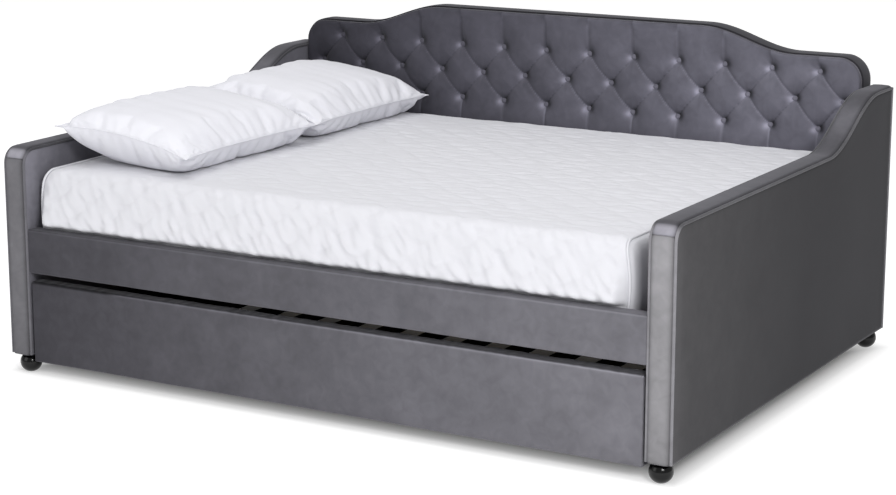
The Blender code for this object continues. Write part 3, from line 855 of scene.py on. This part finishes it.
def tuft_depth(across, up, fine=True):
    """How far the velvet lies behind the crown of the foam, at each point."""
    to_button = np.full(len(across), 9.0)
    turn = np.zeros(len(across))
    for number, (bx, bz, row) in enumerate(buttons):
        gap = np.hypot(across - bx, up - bz)
        near = gap < to_button
        to_button = np.where(near, gap, to_button)
        turn = np.where(near, np.arctan2(up - bz, across - bx) * 7 + number * 1.7, turn)
    to_pleat = np.full(len(across), 9.0)
    above = np.zeros(len(across))
    for ax, az, bx, bz in pleats:
        run = np.array([bx - ax, bz - az])
        share = np.clip(((across - ax) * run[0] + (up - az) * run[1]) / (run @ run), 0, 1)
        gap = np.hypot(across - ax - share * run[0], up - az - share * run[1])
        side = np.sign((across - ax) * run[1] - (up - az) * run[0]) * np.sign(run[0] + 1e-9)
        near = gap < to_pleat
        to_pleat = np.where(near, gap, to_pleat)
        above = np.where(near, side, above)
    cone = fade(np.clip(to_button - CONE_FLOOR, 0, None), CONE_DEPTH, CONE_REACH)
    shoulder = np.clip(1 - to_pleat / GROOVE_REACH, 0, 1)
    groove = GROOVE_DEPTH * (1 - np.sqrt(1 - shoulder ** 2)) + 2.5 * MM * shoulder ** 2
    # The wider, coarse pit from which the painted light and shade are taken.
    if not fine:
        return fade(to_button, SHADING_PIT_DEPTH, SHADING_PIT_REACH) + PLEAT_SHADING * groove
    near_button = 0.3 + fade(to_button, 0.7, 45 * MM)
    crease = near_button * fade(to_pleat, CREASE_DEPTH, CREASE_REACH)
    lap = above * fade(to_pleat, OVERLAP, 9 * MM) * ramp(to_button, 20 * MM)
    pucker = 0.5 * MM * np.sin(turn) * np.exp(-((to_button - 0.018) / 0.016) ** 2)
    return cone + groove + crease + lap + pucker


def edge_distance(across, up):
    """Distance to the back's outline, from inside it."""
    side = pad_high.x - np.abs(across)
    top = (back_top(across) - up) * 0.97
    low = up - pad_low.z
    corner_x = np.abs(across) - (pad_high.x - BACK_CORNER)
    corner_z = up - (back_shoulder - BACK_CORNER)
    in_corner = (corner_x > 0) & (corner_z > 0)
    round_edge = BACK_CORNER - np.hypot(corner_x, corner_z)
    return np.where(in_corner, np.clip(round_edge, 0, None), np.minimum(np.minimum(side, top), low))


# %% The tufted sheet
HIDDEN_TOP, HIDDEN_SHARE = 0.62, 0.12


def pad_place(u, v):
    """A point of the sheet and its painted light and shade."""
    bent = np.sin((u - 0.5) * np.pi * 0.96) / np.sin(0.48 * np.pi)
    across = (pad_high.x - 0.5 * MM) * (0.35 * bent + 0.65 * (2 * u - 1))
    top = back_top(across) - 0.5 * MM
    seen = np.clip((v - HIDDEN_SHARE) / (1 - HIDDEN_SHARE), 0, 1)
    seen = 0.25 * np.sin(seen * np.pi / 2) + 0.75 * seen
    hidden = ramp(v, HIDDEN_SHARE)
    up = pad_low.z + (HIDDEN_TOP - pad_low.z) * hidden + (top - HIDDEN_TOP) * seen
    edge = edge_distance(across, up)
    hold = ramp(edge, 0.03)
    depth = pad_low.y + tuft_depth(across, up) * hold
    depth = depth + rounding(edge, PAD_EDGE) / PAD_EDGE * PAD_EDGE_BACK
    # Painted light and shade: slope to the lamp side, crease lines, spots, and shade along the
    # outline.
    step_x, step_z = SHADING_STEP * LIGHT_SIDE[0], SHADING_STEP * LIGHT_SIDE[1]
    ahead = tuft_depth(across + step_x, up + step_z, fine=False)
    behind = tuft_depth(across - step_x, up - step_z, fine=False)
    slope = np.clip((ahead - behind) / (2 * SHADING_STEP), -0.7, 0.7) * hold
    lines = tuft_depth(across, up) - tuft_depth(across + 3 * MM, up + 2 * MM)
    gain = SHADING_GAIN * slope + np.clip(lines / (4 * MM), -0.3, 0.2)
    for bx, bz, row in buttons:
        for way, strength in PAINTED_SPOTS:
            spot_x, spot_z = bx + way * SPOT_SHIFT, bz + way * 0.3 * SPOT_SHIFT
            gap = np.hypot(across - spot_x, up - spot_z) / SPOT_SIZE
            gain = gain + strength * np.exp(-gap ** 2)
    return across, depth, up, np.exp(gain) * (1 - fade(edge, 0.5, 4 * MM))


pad = grid("tufted_back_velvet", 440, 128, pad_place)
thicken(pad, 6 * MM)
finish_piece(pad, back_velvet, "daybed", ["tufted_back_pad"])

# %% [markdown]
# ## Covered buttons
#
# Each button is a tin dome under the same velvet, 19 mm across, pulled down until its rim is
# buried. One is modelled from a sphere: squashed, with its rear cut away and its rim drawn in.
# The copies each have their own mesh and are then joined, since they are sewn to one pad.

# %% Covered buttons
BUTTON_RADIUS = 9.5 * MM
BUTTON_PROUD = 8.5 * MM


def button(name, place):
    """One covered button, with its middle at a place."""
    deselect()
    bpy.ops.mesh.primitive_uv_sphere_add(segments=20, ring_count=10, radius=BUTTON_RADIUS,
                                         rotation=(math.pi / 2, 0, 0))
    made = bpy.context.object
    made.name = name
    bpy.ops.object.transform_apply(location=False, rotation=True, scale=False)
    bpy.ops.object.mode_set(mode="EDIT")
    bpy.ops.mesh.select_all(action="SELECT")
    bpy.ops.transform.resize(value=(1, 0.55, 1))
    bpy.ops.mesh.bisect(plane_co=(0, 3 * MM, 0), plane_no=(0, 1, 0), use_fill=True,
                        clear_outer=True)
    bpy.ops.object.mode_set(mode="OBJECT")
    move_points(made, points_of(made) + np.array(place))
    return made


made = []
for number, (across, height, row) in enumerate(buttons, 1):
    depth = pad_low.y + tuft_depth(np.array([across]), np.array([height]))[0]
    made.append(button(f"button_{number}", (across, depth - BUTTON_PROUD + 4 * MM, height)))
covered_buttons = join(made[0], made[1:])
covered_buttons.name = "covered_buttons"
# The buttons are painted lighter than the pad: painted light.
paint_shading(covered_buttons, np.full(len(covered_buttons.data.vertices), 1.4))
finish_piece(covered_buttons, back_velvet, "daybed")

# %% [markdown]
# ## Edge and rear of the back
#
# Behind the tufted pad a plain velvet band runs round the edge, with piping where they meet. The
# rear is one flat panel, stapled under the edges. The band and its piping are painted nearly black,
# a painted shade, and the front piping has a painted highlight towards the right.

# %% Back piping, band and rear panel
rear_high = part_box("back_rear_cover")[1]
BAND_FRONT = pad_low.y + PAD_EDGE_BACK
for place_name, depth in (("front", BAND_FRONT + 3 * MM), ("rear", rear_high.y - WELT_RADIUS)):
    line = [(across, depth, up) for across, up in welt_line(BACK_PATH, WELT_RADIUS)]
    welt = tube(f"back_{place_name}_welt", line, WELT_RADIUS)
    spots = points_of(welt)
    # Painted highlight: the front piping is painted lighter towards the right.
    right_highlight = ramp(spots[:, 0] - 0.2, 0.9) ** 1.5
    paint_shading(welt, 0.7 + (4.0 if place_name == "front" else 0) * right_highlight)
    finish_piece(welt, edge_shade_velvet, "daybed")


def band_place(u, v):
    """The band behind the pad: u runs from front to rear, v round the outline."""
    distance = BACK_PATH.length * v
    depth = BAND_FRONT + 5 * MM + (rear_high.y - BAND_FRONT - 7 * MM) * u
    lift = 1.2 * MM * (1 - (2 * u - 1) ** 2) - 2.5 * MM
    spots = BACK_PATH.at(distance) + BACK_PATH.outward(distance) * lift[:, None]
    return spots[:, 0], depth, spots[:, 1]


band = grid("back_edge_band", 12, 600, band_place)
thicken(band, 6 * MM)


def rear_place(u, v):
    """The flat panel at the rear, with slow waves in its cloth."""
    across = (pad_high.x - 3 * MM) * (1 - 2 * u)
    top = back_top(across) - 3 * MM
    up = pad_low.z + (top - pad_low.z) * v
    edge = edge_distance(across, up)
    flat = np.column_stack([across, np.full(len(u), rear_high.y), up])
    waves = ripple(flat, 0.3, 9.0)
    lift = 1.2 * MM * (waves - 0.5) * ramp(edge, 0.06)
    depth = rear_high.y - 0.8 * MM - rounding(edge, 10 * MM) + lift
    return across, depth, up


rear_panel = grid("back_rear_panel", 220, 80, rear_place)
thicken(rear_panel, 10 * MM)
finish_piece(band, edge_shade_velvet, "daybed", ["back_rear_cover"])
finish_piece(rear_panel, rear_velvet, "daybed")

# %% [markdown]
# ## Front rail and trundle front
#
# Both are boards wrapped in foam and velvet, with soft round edges all round. Each starts as a
# grid that is wrapped round the board's section and closed over its two ends. Slow waves and a
# few short upright puckers keep the face from being a machine-made plane. The cloth bunches on
# the top edge of the trundle front, where it is folded over and stapled behind. Light and shade
# are painted into the colour: a light line on the front edge, a darker top and ends, and towards
# the trundle front's left end a painted shade on its top edge.

# %% Wrapped panels
COLUMNS, END_STEPS = 360, 8
DARK_FROM = -0.70
CAP_INSET = 2 * MM


def wrapped_panel(name, node_name, look, body, edge_round, end_round, puckers, rim_highlight, top_shade,
                  left_end_shade):
    """A board in velvet; the last three paint light on its rim and shade on its top and left end."""
    low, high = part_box(node_name)
    section = [(high.y, low.z)]
    section += arc((low.y + edge_round, low.z + edge_round), edge_round, 270, 180)
    section += arc((low.y + edge_round, high.z - edge_round), edge_round, 180, 90)
    section.append((high.y, high.z))
    wrap = Path(section)
    body_steps = COLUMNS - 2 * END_STEPS

    def place(u, v):
        column = np.rint(u * COLUMNS)
        from_end = np.minimum(column, COLUMNS - column)
        turn = ramp(from_end, END_STEPS) * np.pi / 2
        inset = end_round * (1 - np.sin(turn)) + np.where(from_end == 0, 6 * MM, 0)
        share = ramp(column - END_STEPS, body_steps)
        straight = low.x + end_round + (high.x - low.x - 2 * end_round) * share
        way = np.where(column < COLUMNS / 2, -1, 1)
        across = straight + way * end_round * np.cos(turn) * (from_end < END_STEPS)
        distance = wrap.length * v
        spots, out = wrap.at(distance), wrap.outward(distance)
        flat = np.column_stack([across, spots])
        waves = 1.1 * MM * ripple(flat * [0.7, 1, 1], 0.16, 1.3) + 0.5 * MM * ripple(flat, 0.05, 4.4)
        pucker = puckers * np.clip(ripple(flat * [1, 0.2, 0.1], 0.022, 7.7), -0.2, 1)
        on_top = np.exp(-((spots[:, 1] - high.z) / (16 * MM)) ** 2)
        lift = waves + pucker * on_top - 1.2 * MM
        spots = spots + out * lift[:, None]
        depth = np.maximum(spots[:, 0], low.y + inset)
        up = np.clip(spots[:, 1], low.z + inset, high.z - inset)
        flat_top = ramp(out[:, 1] - 0.5, 0.45)
        # Painted light and shade: a light line on the rim, a darker top, shade left of DARK_FROM.
        rim = np.exp(-((out[:, 1] - 0.42) / 0.22) ** 2)
        painted_shading = 1 + rim_highlight * rim - top_shade * flat_top
        shaded = ramp(DARK_FROM - across, 60 * MM) * np.clip(rim + flat_top, 0, 1)
        return across, depth, up, painted_shading * (1 - left_end_shade * shaded)

    made = grid(name, COLUMNS, 90, place)
    caps = []
    for way in (-1, 1):
        plane = high.x - 1.2 * MM if way > 0 else low.x + 1.2 * MM

        def cap_place(u, v):
            share = u if way > 0 else 1 - u
            depth = low.y + CAP_INSET + (high.y - low.y - CAP_INSET) * share
            up = low.z + CAP_INSET + (high.z - low.z - 2 * CAP_INSET) * v
            corner = np.minimum(depth - low.y, np.minimum(up - low.z, high.z - up))
            across = plane - way * rounding(corner - CAP_INSET, 5 * MM)
            # The end caps are painted a little darker: painted shade.
            return across, depth, up, np.full(len(u), 0.9)

        caps.append(grid(f"{name}_end", 16, 40, cap_place))
    made = join(made, caps)
    thicken(made, 8 * MM)
    finish_piece(made, look, body, [node_name])


wrapped_panel("front_rail_velvet", "front_rail_cover", rail_velvet, "daybed",
              edge_round=7 * MM, end_round=4 * MM, puckers=0.6 * MM, rim_highlight=0.45,
              top_shade=0.15, left_end_shade=0)
wrapped_panel("trundle_front_velvet", "trundle_front_cover", trundle_velvet, "trundle",
              edge_round=9 * MM, end_round=6 * MM, puckers=2.4 * MM, rim_highlight=0.75,
              top_shade=0.62, left_end_shade=0.85)

# %% [markdown]
# ## Mattress
#
# A deep foam mattress in a white knit that is quilted all over in a scale pattern: rows of U-shaped
# stitch lines, each row half a step aside from the one below, deepest at the foot of each U. The
# cover runs in one piece over the top and the long sides. The two ends are separate panels, set
# in with piping along a seam that bows outwards. The long piece is a grid wrapped round the
# section, and the quilting is real relief: the surface is lowest on a stitch line and full between
# the lines. Over the rail the soft foam hangs forward a little.

# %% Mattress sizes
mattress_low, mattress_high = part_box("mattress")
TOP_ROUND = 48 * MM
BOTTOM_ROUND = 24 * MM
QUILT_ROW = 56 * MM
QUILT_WAVE = 130 * MM
QUILT_SWING = 38 * MM
QUILT_PUFF = 6.5 * MM
LEAF_PUCKER = 5.0 * MM
TOP_GATHER = 2.6 * MM
END_INSET, END_BOW, END_PUFF = 8 * MM, 20 * MM, 9 * MM
SEAM_GAP = 0.4 * MM
FRONT_BULGE, BULGE_START, BULGE_FALL = 36 * MM, 16 * MM, 140 * MM
STITCH_WIDTH = 9 * MM
SAG = 3.0 * MM
RAIL_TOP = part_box("front_rail_cover")[1].z


def mattress_section():
    """From the front's foot, over the top, to the rear's foot, in Y and Z."""
    low, high = mattress_low, mattress_high
    points = arc((low.y + BOTTOM_ROUND, low.z + BOTTOM_ROUND), BOTTOM_ROUND, 270, 180)
    points += arc((low.y + TOP_ROUND, high.z - TOP_ROUND), TOP_ROUND, 180, 90)
    points += arc((high.y - TOP_ROUND, high.z - TOP_ROUND), TOP_ROUND, 90, 0)
    points += arc((high.y - BOTTOM_ROUND, low.z + BOTTOM_ROUND), BOTTOM_ROUND, 0, -90)
    return Path(points)


SECTION = mattress_section()


def quilting(across, distance):
    """Height of the quilted knit above its stitch lines."""
    row = np.floor(distance / QUILT_ROW)
    dip = np.zeros(len(across))
    for step in (0, 1, 2):
        number = row + step
        turn = np.pi * ((across / QUILT_WAVE + number / 2) % 1 - 0.5)
        line = number * QUILT_ROW - QUILT_SWING * np.cos(turn)
        slope = QUILT_SWING * np.pi / QUILT_WAVE * np.sin(turn)
        gap = np.abs(distance - line) / np.sqrt(1 + slope ** 2)
        dip = np.maximum(dip, fade(gap, 0.3 + 0.7 * np.cos(turn), STITCH_WIDTH))
    return QUILT_PUFF * (1 - dip)


def end_inset(up):
    """How far the end seam lies in from the mattress's end, at a height."""
    share = (up - mattress_low.z) / (mattress_high.z - mattress_low.z)
    return END_INSET + END_BOW * np.abs(2 * share - 1) ** 2.2


# %% The quilted cover
def cover_place(u, v):
    """Quilting, gathers and slow waves, held flat at the end seams."""
    distance = SECTION.length * v
    spots, out = SECTION.at(distance), SECTION.outward(distance)
    inset = end_inset(spots[:, 1])
    width = mattress_high.x - mattress_low.x - 2 * inset
    across = mattress_low.x + inset + width * u
    from_end = np.minimum(across - mattress_low.x, mattress_high.x - across) - inset
    hold = ramp(from_end, 0.03)
    flat = np.column_stack([across, spots])
    sag = SAG * ripple(flat, 0.35, 2.2)
    drift = ripple(flat, 0.19, 8.1)
    puff = quilting(across + 14 * MM * drift, distance + 9 * MM * ripple(flat, 0.15, 12.4))
    on_top = ramp(spots[:, 1] - mattress_high.z + 0.03, 0.02)
    puff = puff * (1 - 0.5 * on_top) + 0.5 * QUILT_PUFF * on_top
    gather = (1.2 * MM + (TOP_GATHER - 1.2 * MM) * on_top) * ripple(flat * [0.3, 1, 1], 0.022, 3.3)
    over_rail = spots[:, 1] - RAIL_TOP - 3 * MM
    start = np.sqrt(ramp(over_rail, BULGE_START))
    on_front_side = spots[:, 0] < mattress_low.y + 0.02
    bulge = start * (1 - ease((over_rail - BULGE_START) / BULGE_FALL)) * on_front_side
    leaf = np.column_stack([(across + 0.9 * distance) / 0.024, (across - distance) / 0.075,
                            0 * across])
    on_front = ramp(mattress_low.y + 0.07 - spots[:, 0], 0.05)
    gather += LEAF_PUCKER * on_front * (1 + 0.9 * bulge) * ripple(leaf, 1.0, 6.6)
    lift = (puff + gather) * hold + sag * hold - QUILT_PUFF
    lift += FRONT_BULGE * bulge * hold
    lift -= rounding(from_end, 8 * MM)
    spots = spots + out * lift[:, None]
    return across, spots[:, 0], spots[:, 1]


cover = grid("mattress_quilted_cover", 360, 330, cover_place)


# %% Mattress ends and underside
def end_place(way):
    """A padded end panel that fills the section."""
    middle_y, middle_z = (mattress_low.y + mattress_high.y) / 2, (mattress_low.z + mattress_high.z) / 2
    half_y = (mattress_high.y - mattress_low.y) / 2 - QUILT_PUFF
    half_z = (mattress_high.z - mattress_low.z) / 2 - QUILT_PUFF

    def place(u, v):
        across_share = (2 * u - 1) * way
        depth, up = across_share * half_y, (2 * v - 1) * half_z
        radius = np.where(up > 0, TOP_ROUND, BOTTOM_ROUND)
        flat_y, flat_z = half_y - radius, half_z - radius
        into_y = np.clip((np.abs(depth) - flat_y) / radius, 0, 1)
        into_z = np.clip((np.abs(up) - flat_z) / radius, 0, 1)
        pull = np.maximum(into_y, into_z) / np.maximum(np.hypot(into_y, into_z), 1e-6)
        both = (into_y > 0) & (into_z > 0)
        depth = np.where(both, np.sign(depth) * (flat_y + radius * into_y * pull), depth)
        up = np.where(both, np.sign(up) * (flat_z + radius * into_z * pull), up)
        round_ends = np.sqrt(1 - np.clip(np.abs(across_share), 0, 1) ** 30)
        rise = round_ends * (1 - np.abs(2 * v - 1) ** 3) ** 0.6
        flat = np.column_stack([np.full(len(u), way), depth, up * 0.2])
        folds = 4.0 * MM * ripple(flat, 0.04, 6.0) * rise
        inset = end_inset(middle_z + up)
        seam = (mattress_high.x if way > 0 else mattress_low.x) - way * inset
        across = seam + way * ((inset + END_PUFF) * rise + folds - 1 * MM)
        return across, middle_y + depth, middle_z + up

    return place


ends = [grid("mattress_left_end", 200, 40, end_place(-1)),
        grid("mattress_right_end", 200, 40, end_place(1))]
left_seam = mattress_low.x + END_INSET + END_BOW
right_seam = mattress_high.x - END_INSET - END_BOW
underside = grid("mattress_underside", 60, 40, lambda u, v: (
    left_seam + (right_seam - left_seam) * (1 - u),
    mattress_low.y + BOTTOM_ROUND + (mattress_high.y - mattress_low.y - 2 * BOTTOM_ROUND) * v,
    np.full(len(u), mattress_low.z + QUILT_PUFF)))
mattress = weld(join(cover, ends + [underside]), SEAM_GAP)
mattress.name = "mattress_cover"
finish_piece(mattress, mattress_knit, "daybed", ["mattress"])

# %% Mattress piping
MATTRESS_WELT = 4 * MM
marks = np.linspace(0, SECTION.length, 220)
for side, edge, way in (("left", mattress_low.x, -1), ("right", mattress_high.x, 1)):
    loop = SECTION.at(marks) - SECTION.outward(marks) * QUILT_PUFF
    line = [(edge - way * end_inset(up), depth, up) for depth, up in loop]
    piping = tube(f"mattress_{side}_piping", line, MATTRESS_WELT)
    finish_piece(piping, mattress_knit, "daybed")

# %% [markdown]
# ## Pillows
#
# A pillow is two rectangles of cotton sewn together and stuffed. The stuffing draws the long
# edges in and leaves the corners as points, so the shape starts as two crowned sheets that share
# a seam. The cotton is then let out by a few per cent and blown up with cloth physics while the
# seam is held, which buckles it into soft creases. Broad folds that run away from the seam come
# next. Last, the pillow is tilted with its left edge up against the arm, and flattened where it
# lies on the mattress.

# %% Pillow shape
UPPER_CROWN, LOWER_CROWN = 0.070, 0.108
SEAM_HEIGHT = 0.092
LEAN = 0.120
MOUTH_RISE = 26 * MM
DRAWN_SIDES, DRAWN_ENDS = 0.085, 0.045
PILLOW_COLUMNS = 54


def drawn_in(half_x, half_y, a, b):
    """Shares from -1 to 1 carried to the pillow, its edges drawn in between the corners."""
    across = half_x * a * (1 - DRAWN_SIDES * (1 - np.abs(b) ** 3))
    along = half_y * b * (1 - DRAWN_ENDS * (1 - np.abs(a) ** 3))
    return across, along


def crowned(half_x, half_y, way):
    """One sheet of the pillow: way is 1 for the upper, -1 for the lower."""
    def place(u, v):
        a, b = (2 * u - 1) * way, 2 * v - 1
        a = 0.8 * np.sin(a * np.pi / 2) + 0.2 * a
        b = 0.8 * np.sin(b * np.pi / 2) + 0.2 * b
        across, along = drawn_in(half_x, half_y, a, b)
        inside = np.clip((1 - np.abs(a) ** 3.0) * (1 - np.abs(b) ** 3.4), 0, 1)
        crown = UPPER_CROWN if way > 0 else LOWER_CROWN
        return across, along, way * crown * inside ** 0.52

    return place


# %% Stuff a pillow
PILLOW_FRAMES = 20
PILLOW_CAP = 14 * MM
LET_OUT = 0.045


def inflate(piece):
    """Let the cotton out a little and blow it up while its seam is held."""
    scene = bpy.context.scene
    before = points_of(piece)
    seam = piece.vertex_groups.new(name="seam")
    seam.add([int(i) for i in np.where(np.abs(before[:, 2]) < 0.00001)[0]], 1.0, "REPLACE")
    cloth = piece.modifiers.new("stuffing", "CLOTH")
    settings = cloth.settings
    settings.quality = 6
    settings.mass = 0.3
    settings.tension_stiffness = 15
    settings.compression_stiffness = 15
    settings.shear_stiffness = 5
    settings.bending_stiffness = 0.4
    settings.vertex_group_mass = "seam"
    settings.shrink_min = -LET_OUT
    settings.use_pressure = True
    settings.uniform_pressure_force = 4
    settings.effector_weights.gravity = 0
    cloth.collision_settings.use_collision = False
    cloth.point_cache.frame_start = 1
    cloth.point_cache.frame_end = PILLOW_FRAMES
    for step in range(1, PILLOW_FRAMES + 1):
        scene.frame_set(step)
    apply_all(piece)
    scene.frame_set(1)
    moved = points_of(piece) - before
    length = np.maximum(np.linalg.norm(moved, axis=1), 1e-9)
    move_points(piece, before + moved * np.minimum(1, PILLOW_CAP / length)[:, None])


# %% Folds in a pillow
SIDE_FOLD, END_FOLD, FOLD_PITCH, FOLD_REACH = 8.5 * MM, 4 * MM, 42 * MM, 110 * MM


def folds(piece, half_x, half_y, seed):
    """Broad soft folds that start at the seam and run away from it."""
    points = points_of(piece)
    normals = np.empty(len(points) * 3)
    piece.data.vertex_normals.foreach_get("vector", normals)
    normals = normals.reshape(-1, 3)
    from_side = np.clip(half_x * 0.93 - np.abs(points[:, 0]), 0, None)
    from_end = np.clip(half_y * 0.96 - np.abs(points[:, 1]), 0, None)
    lift = np.zeros(len(points))
    for gap, line, size in ((from_side, points[:, 1], SIDE_FOLD), (from_end, points[:, 0], END_FOLD)):
        rise = fade(gap, ramp(gap, 18 * MM), FOLD_REACH)
        bent = np.column_stack([line, gap * 0.22, np.sign(points[:, 2]) * 0.3])
        lift += size * rise * ripple(bent, FOLD_PITCH, seed) * np.where(points[:, 2] < 0, 0.5, 1.0)
    lift += 3.5 * MM * ripple(points * [0.6, 1, 1], 0.11, seed + 5) * np.clip(
        np.minimum(from_side, from_end) / 0.04, 0, 1)
    move_points(piece, points + normals * lift[:, None])


# %% Set a pillow down
LEVELLING = 12 * MM


def settled(points, low, high):
    """Tilt towards the arm, set down, and flatten on the mattress."""
    points = points.copy()
    half_x, half_y = (high.x - low.x) / 2, (high.y - low.y) / 2
    a, b = points[:, 0] / half_x, points[:, 1] / half_y
    mouth = MOUTH_RISE * np.clip(1 - a ** 2, 0, 1) * np.exp(-np.clip(1 + b, 0, None) / 0.22)
    points[:, 2] += mouth - LEAN * points[:, 0]
    points += [(low.x + high.x) / 2, (low.y + high.y) / 2, low.z + SEAM_HEIGHT]
    bed = low.z + 0.5 * MM
    over = points[:, 2] - bed - LEVELLING
    pressed = bed + LEVELLING * np.exp(np.minimum(over, 0) / LEVELLING)
    points[:, 2] = np.where(over < 0, pressed, points[:, 2])
    return points


# %% Make the pillows
def pillow(name, node_name, seed):
    """Two sheets sewn, stuffed, creased and set down, and the roll of their seam."""
    low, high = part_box(node_name)
    half_x, half_y = (high.x - low.x) / 2, (high.y - low.y) / 2
    rows = int(PILLOW_COLUMNS * half_y / half_x)
    upper = grid(name, PILLOW_COLUMNS, rows, crowned(half_x, half_y, 1))
    lower = grid(name + "_lower", PILLOW_COLUMNS, rows, crowned(half_x, half_y, -1))
    made = weld(join(upper, [lower]), SEAM_GAP)
    inflate(made)
    smooth = made.modifiers.new("smooth", "SUBSURF")
    smooth.levels = 1
    smooth.render_levels = 1
    apply_all(made)
    folds(made, half_x, half_y, seed)
    move_points(made, settled(points_of(made), low, high))
    finish_piece(made, pillow_cotton, "daybed", [node_name])

    turns = np.linspace(0, 4, 261)[:-1]
    side = turns.astype(int)
    share = 2 * (turns - side) - 1
    a = np.select([side == 0, side == 1, side == 2, side == 3], [share, 1.0, -share, -1.0])
    b = np.select([side == 0, side == 1, side == 2, side == 3], [-1.0, share, 1.0, -share])
    line = np.column_stack([*drawn_in(half_x, half_y, a, b), np.zeros(len(a))])
    line = settled(line, low, high)
    seam = tube(name + "_seam", [tuple(point) for point in np.vstack([line, line[:1]])], 1.8 * MM)
    finish_piece(seam, pillow_cotton, "daybed")


pillow("front_pillow_case", "front_pillow", 2.0)
pillow("rear_pillow_case", "rear_pillow", 31.0)

# %% [markdown]
# ## Feet
#
# Turned bun feet, lacquered black. A sphere is pressed to the height under the arm, then its sole
# and its top are cut flat. The cut edges stay sharp, the rest is shaded smooth.

# %% Feet
FOOT_RADIUS = 34.5 * MM


def bun_foot(name):
    """A turned foot that fills the height between the floor and the arm."""
    low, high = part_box(name)
    under_arm = arm_low.z
    centre = Vector(((low.x + high.x) / 2, (low.y + high.y) / 2, under_arm / 2))
    deselect()
    bpy.ops.mesh.primitive_uv_sphere_add(segments=64, ring_count=40, radius=FOOT_RADIUS)
    made = bpy.context.object
    made.name = f"{name}_turned"
    bpy.ops.object.mode_set(mode="EDIT")
    bpy.ops.mesh.select_all(action="SELECT")
    bpy.ops.transform.resize(value=(1, 1, (under_arm / 2 + 2 * MM) / FOOT_RADIUS))
    for way in (-1, 1):
        bpy.ops.mesh.select_all(action="SELECT")
        bpy.ops.mesh.bisect(plane_co=(0, 0, way * under_arm / 2), plane_no=(0, 0, way),
                            use_fill=True, clear_outer=True)
    bpy.ops.object.mode_set(mode="OBJECT")
    move_points(made, points_of(made) + np.array(centre))
    return finish_piece(made, black_lacquer, "daybed", [name])


for end in ("front", "rear"):
    for side in ("left", "right"):
        foot = bun_foot(f"{end}_{side}_foot")
        foot.data.set_sharp_from_angle(angle=math.radians(50))
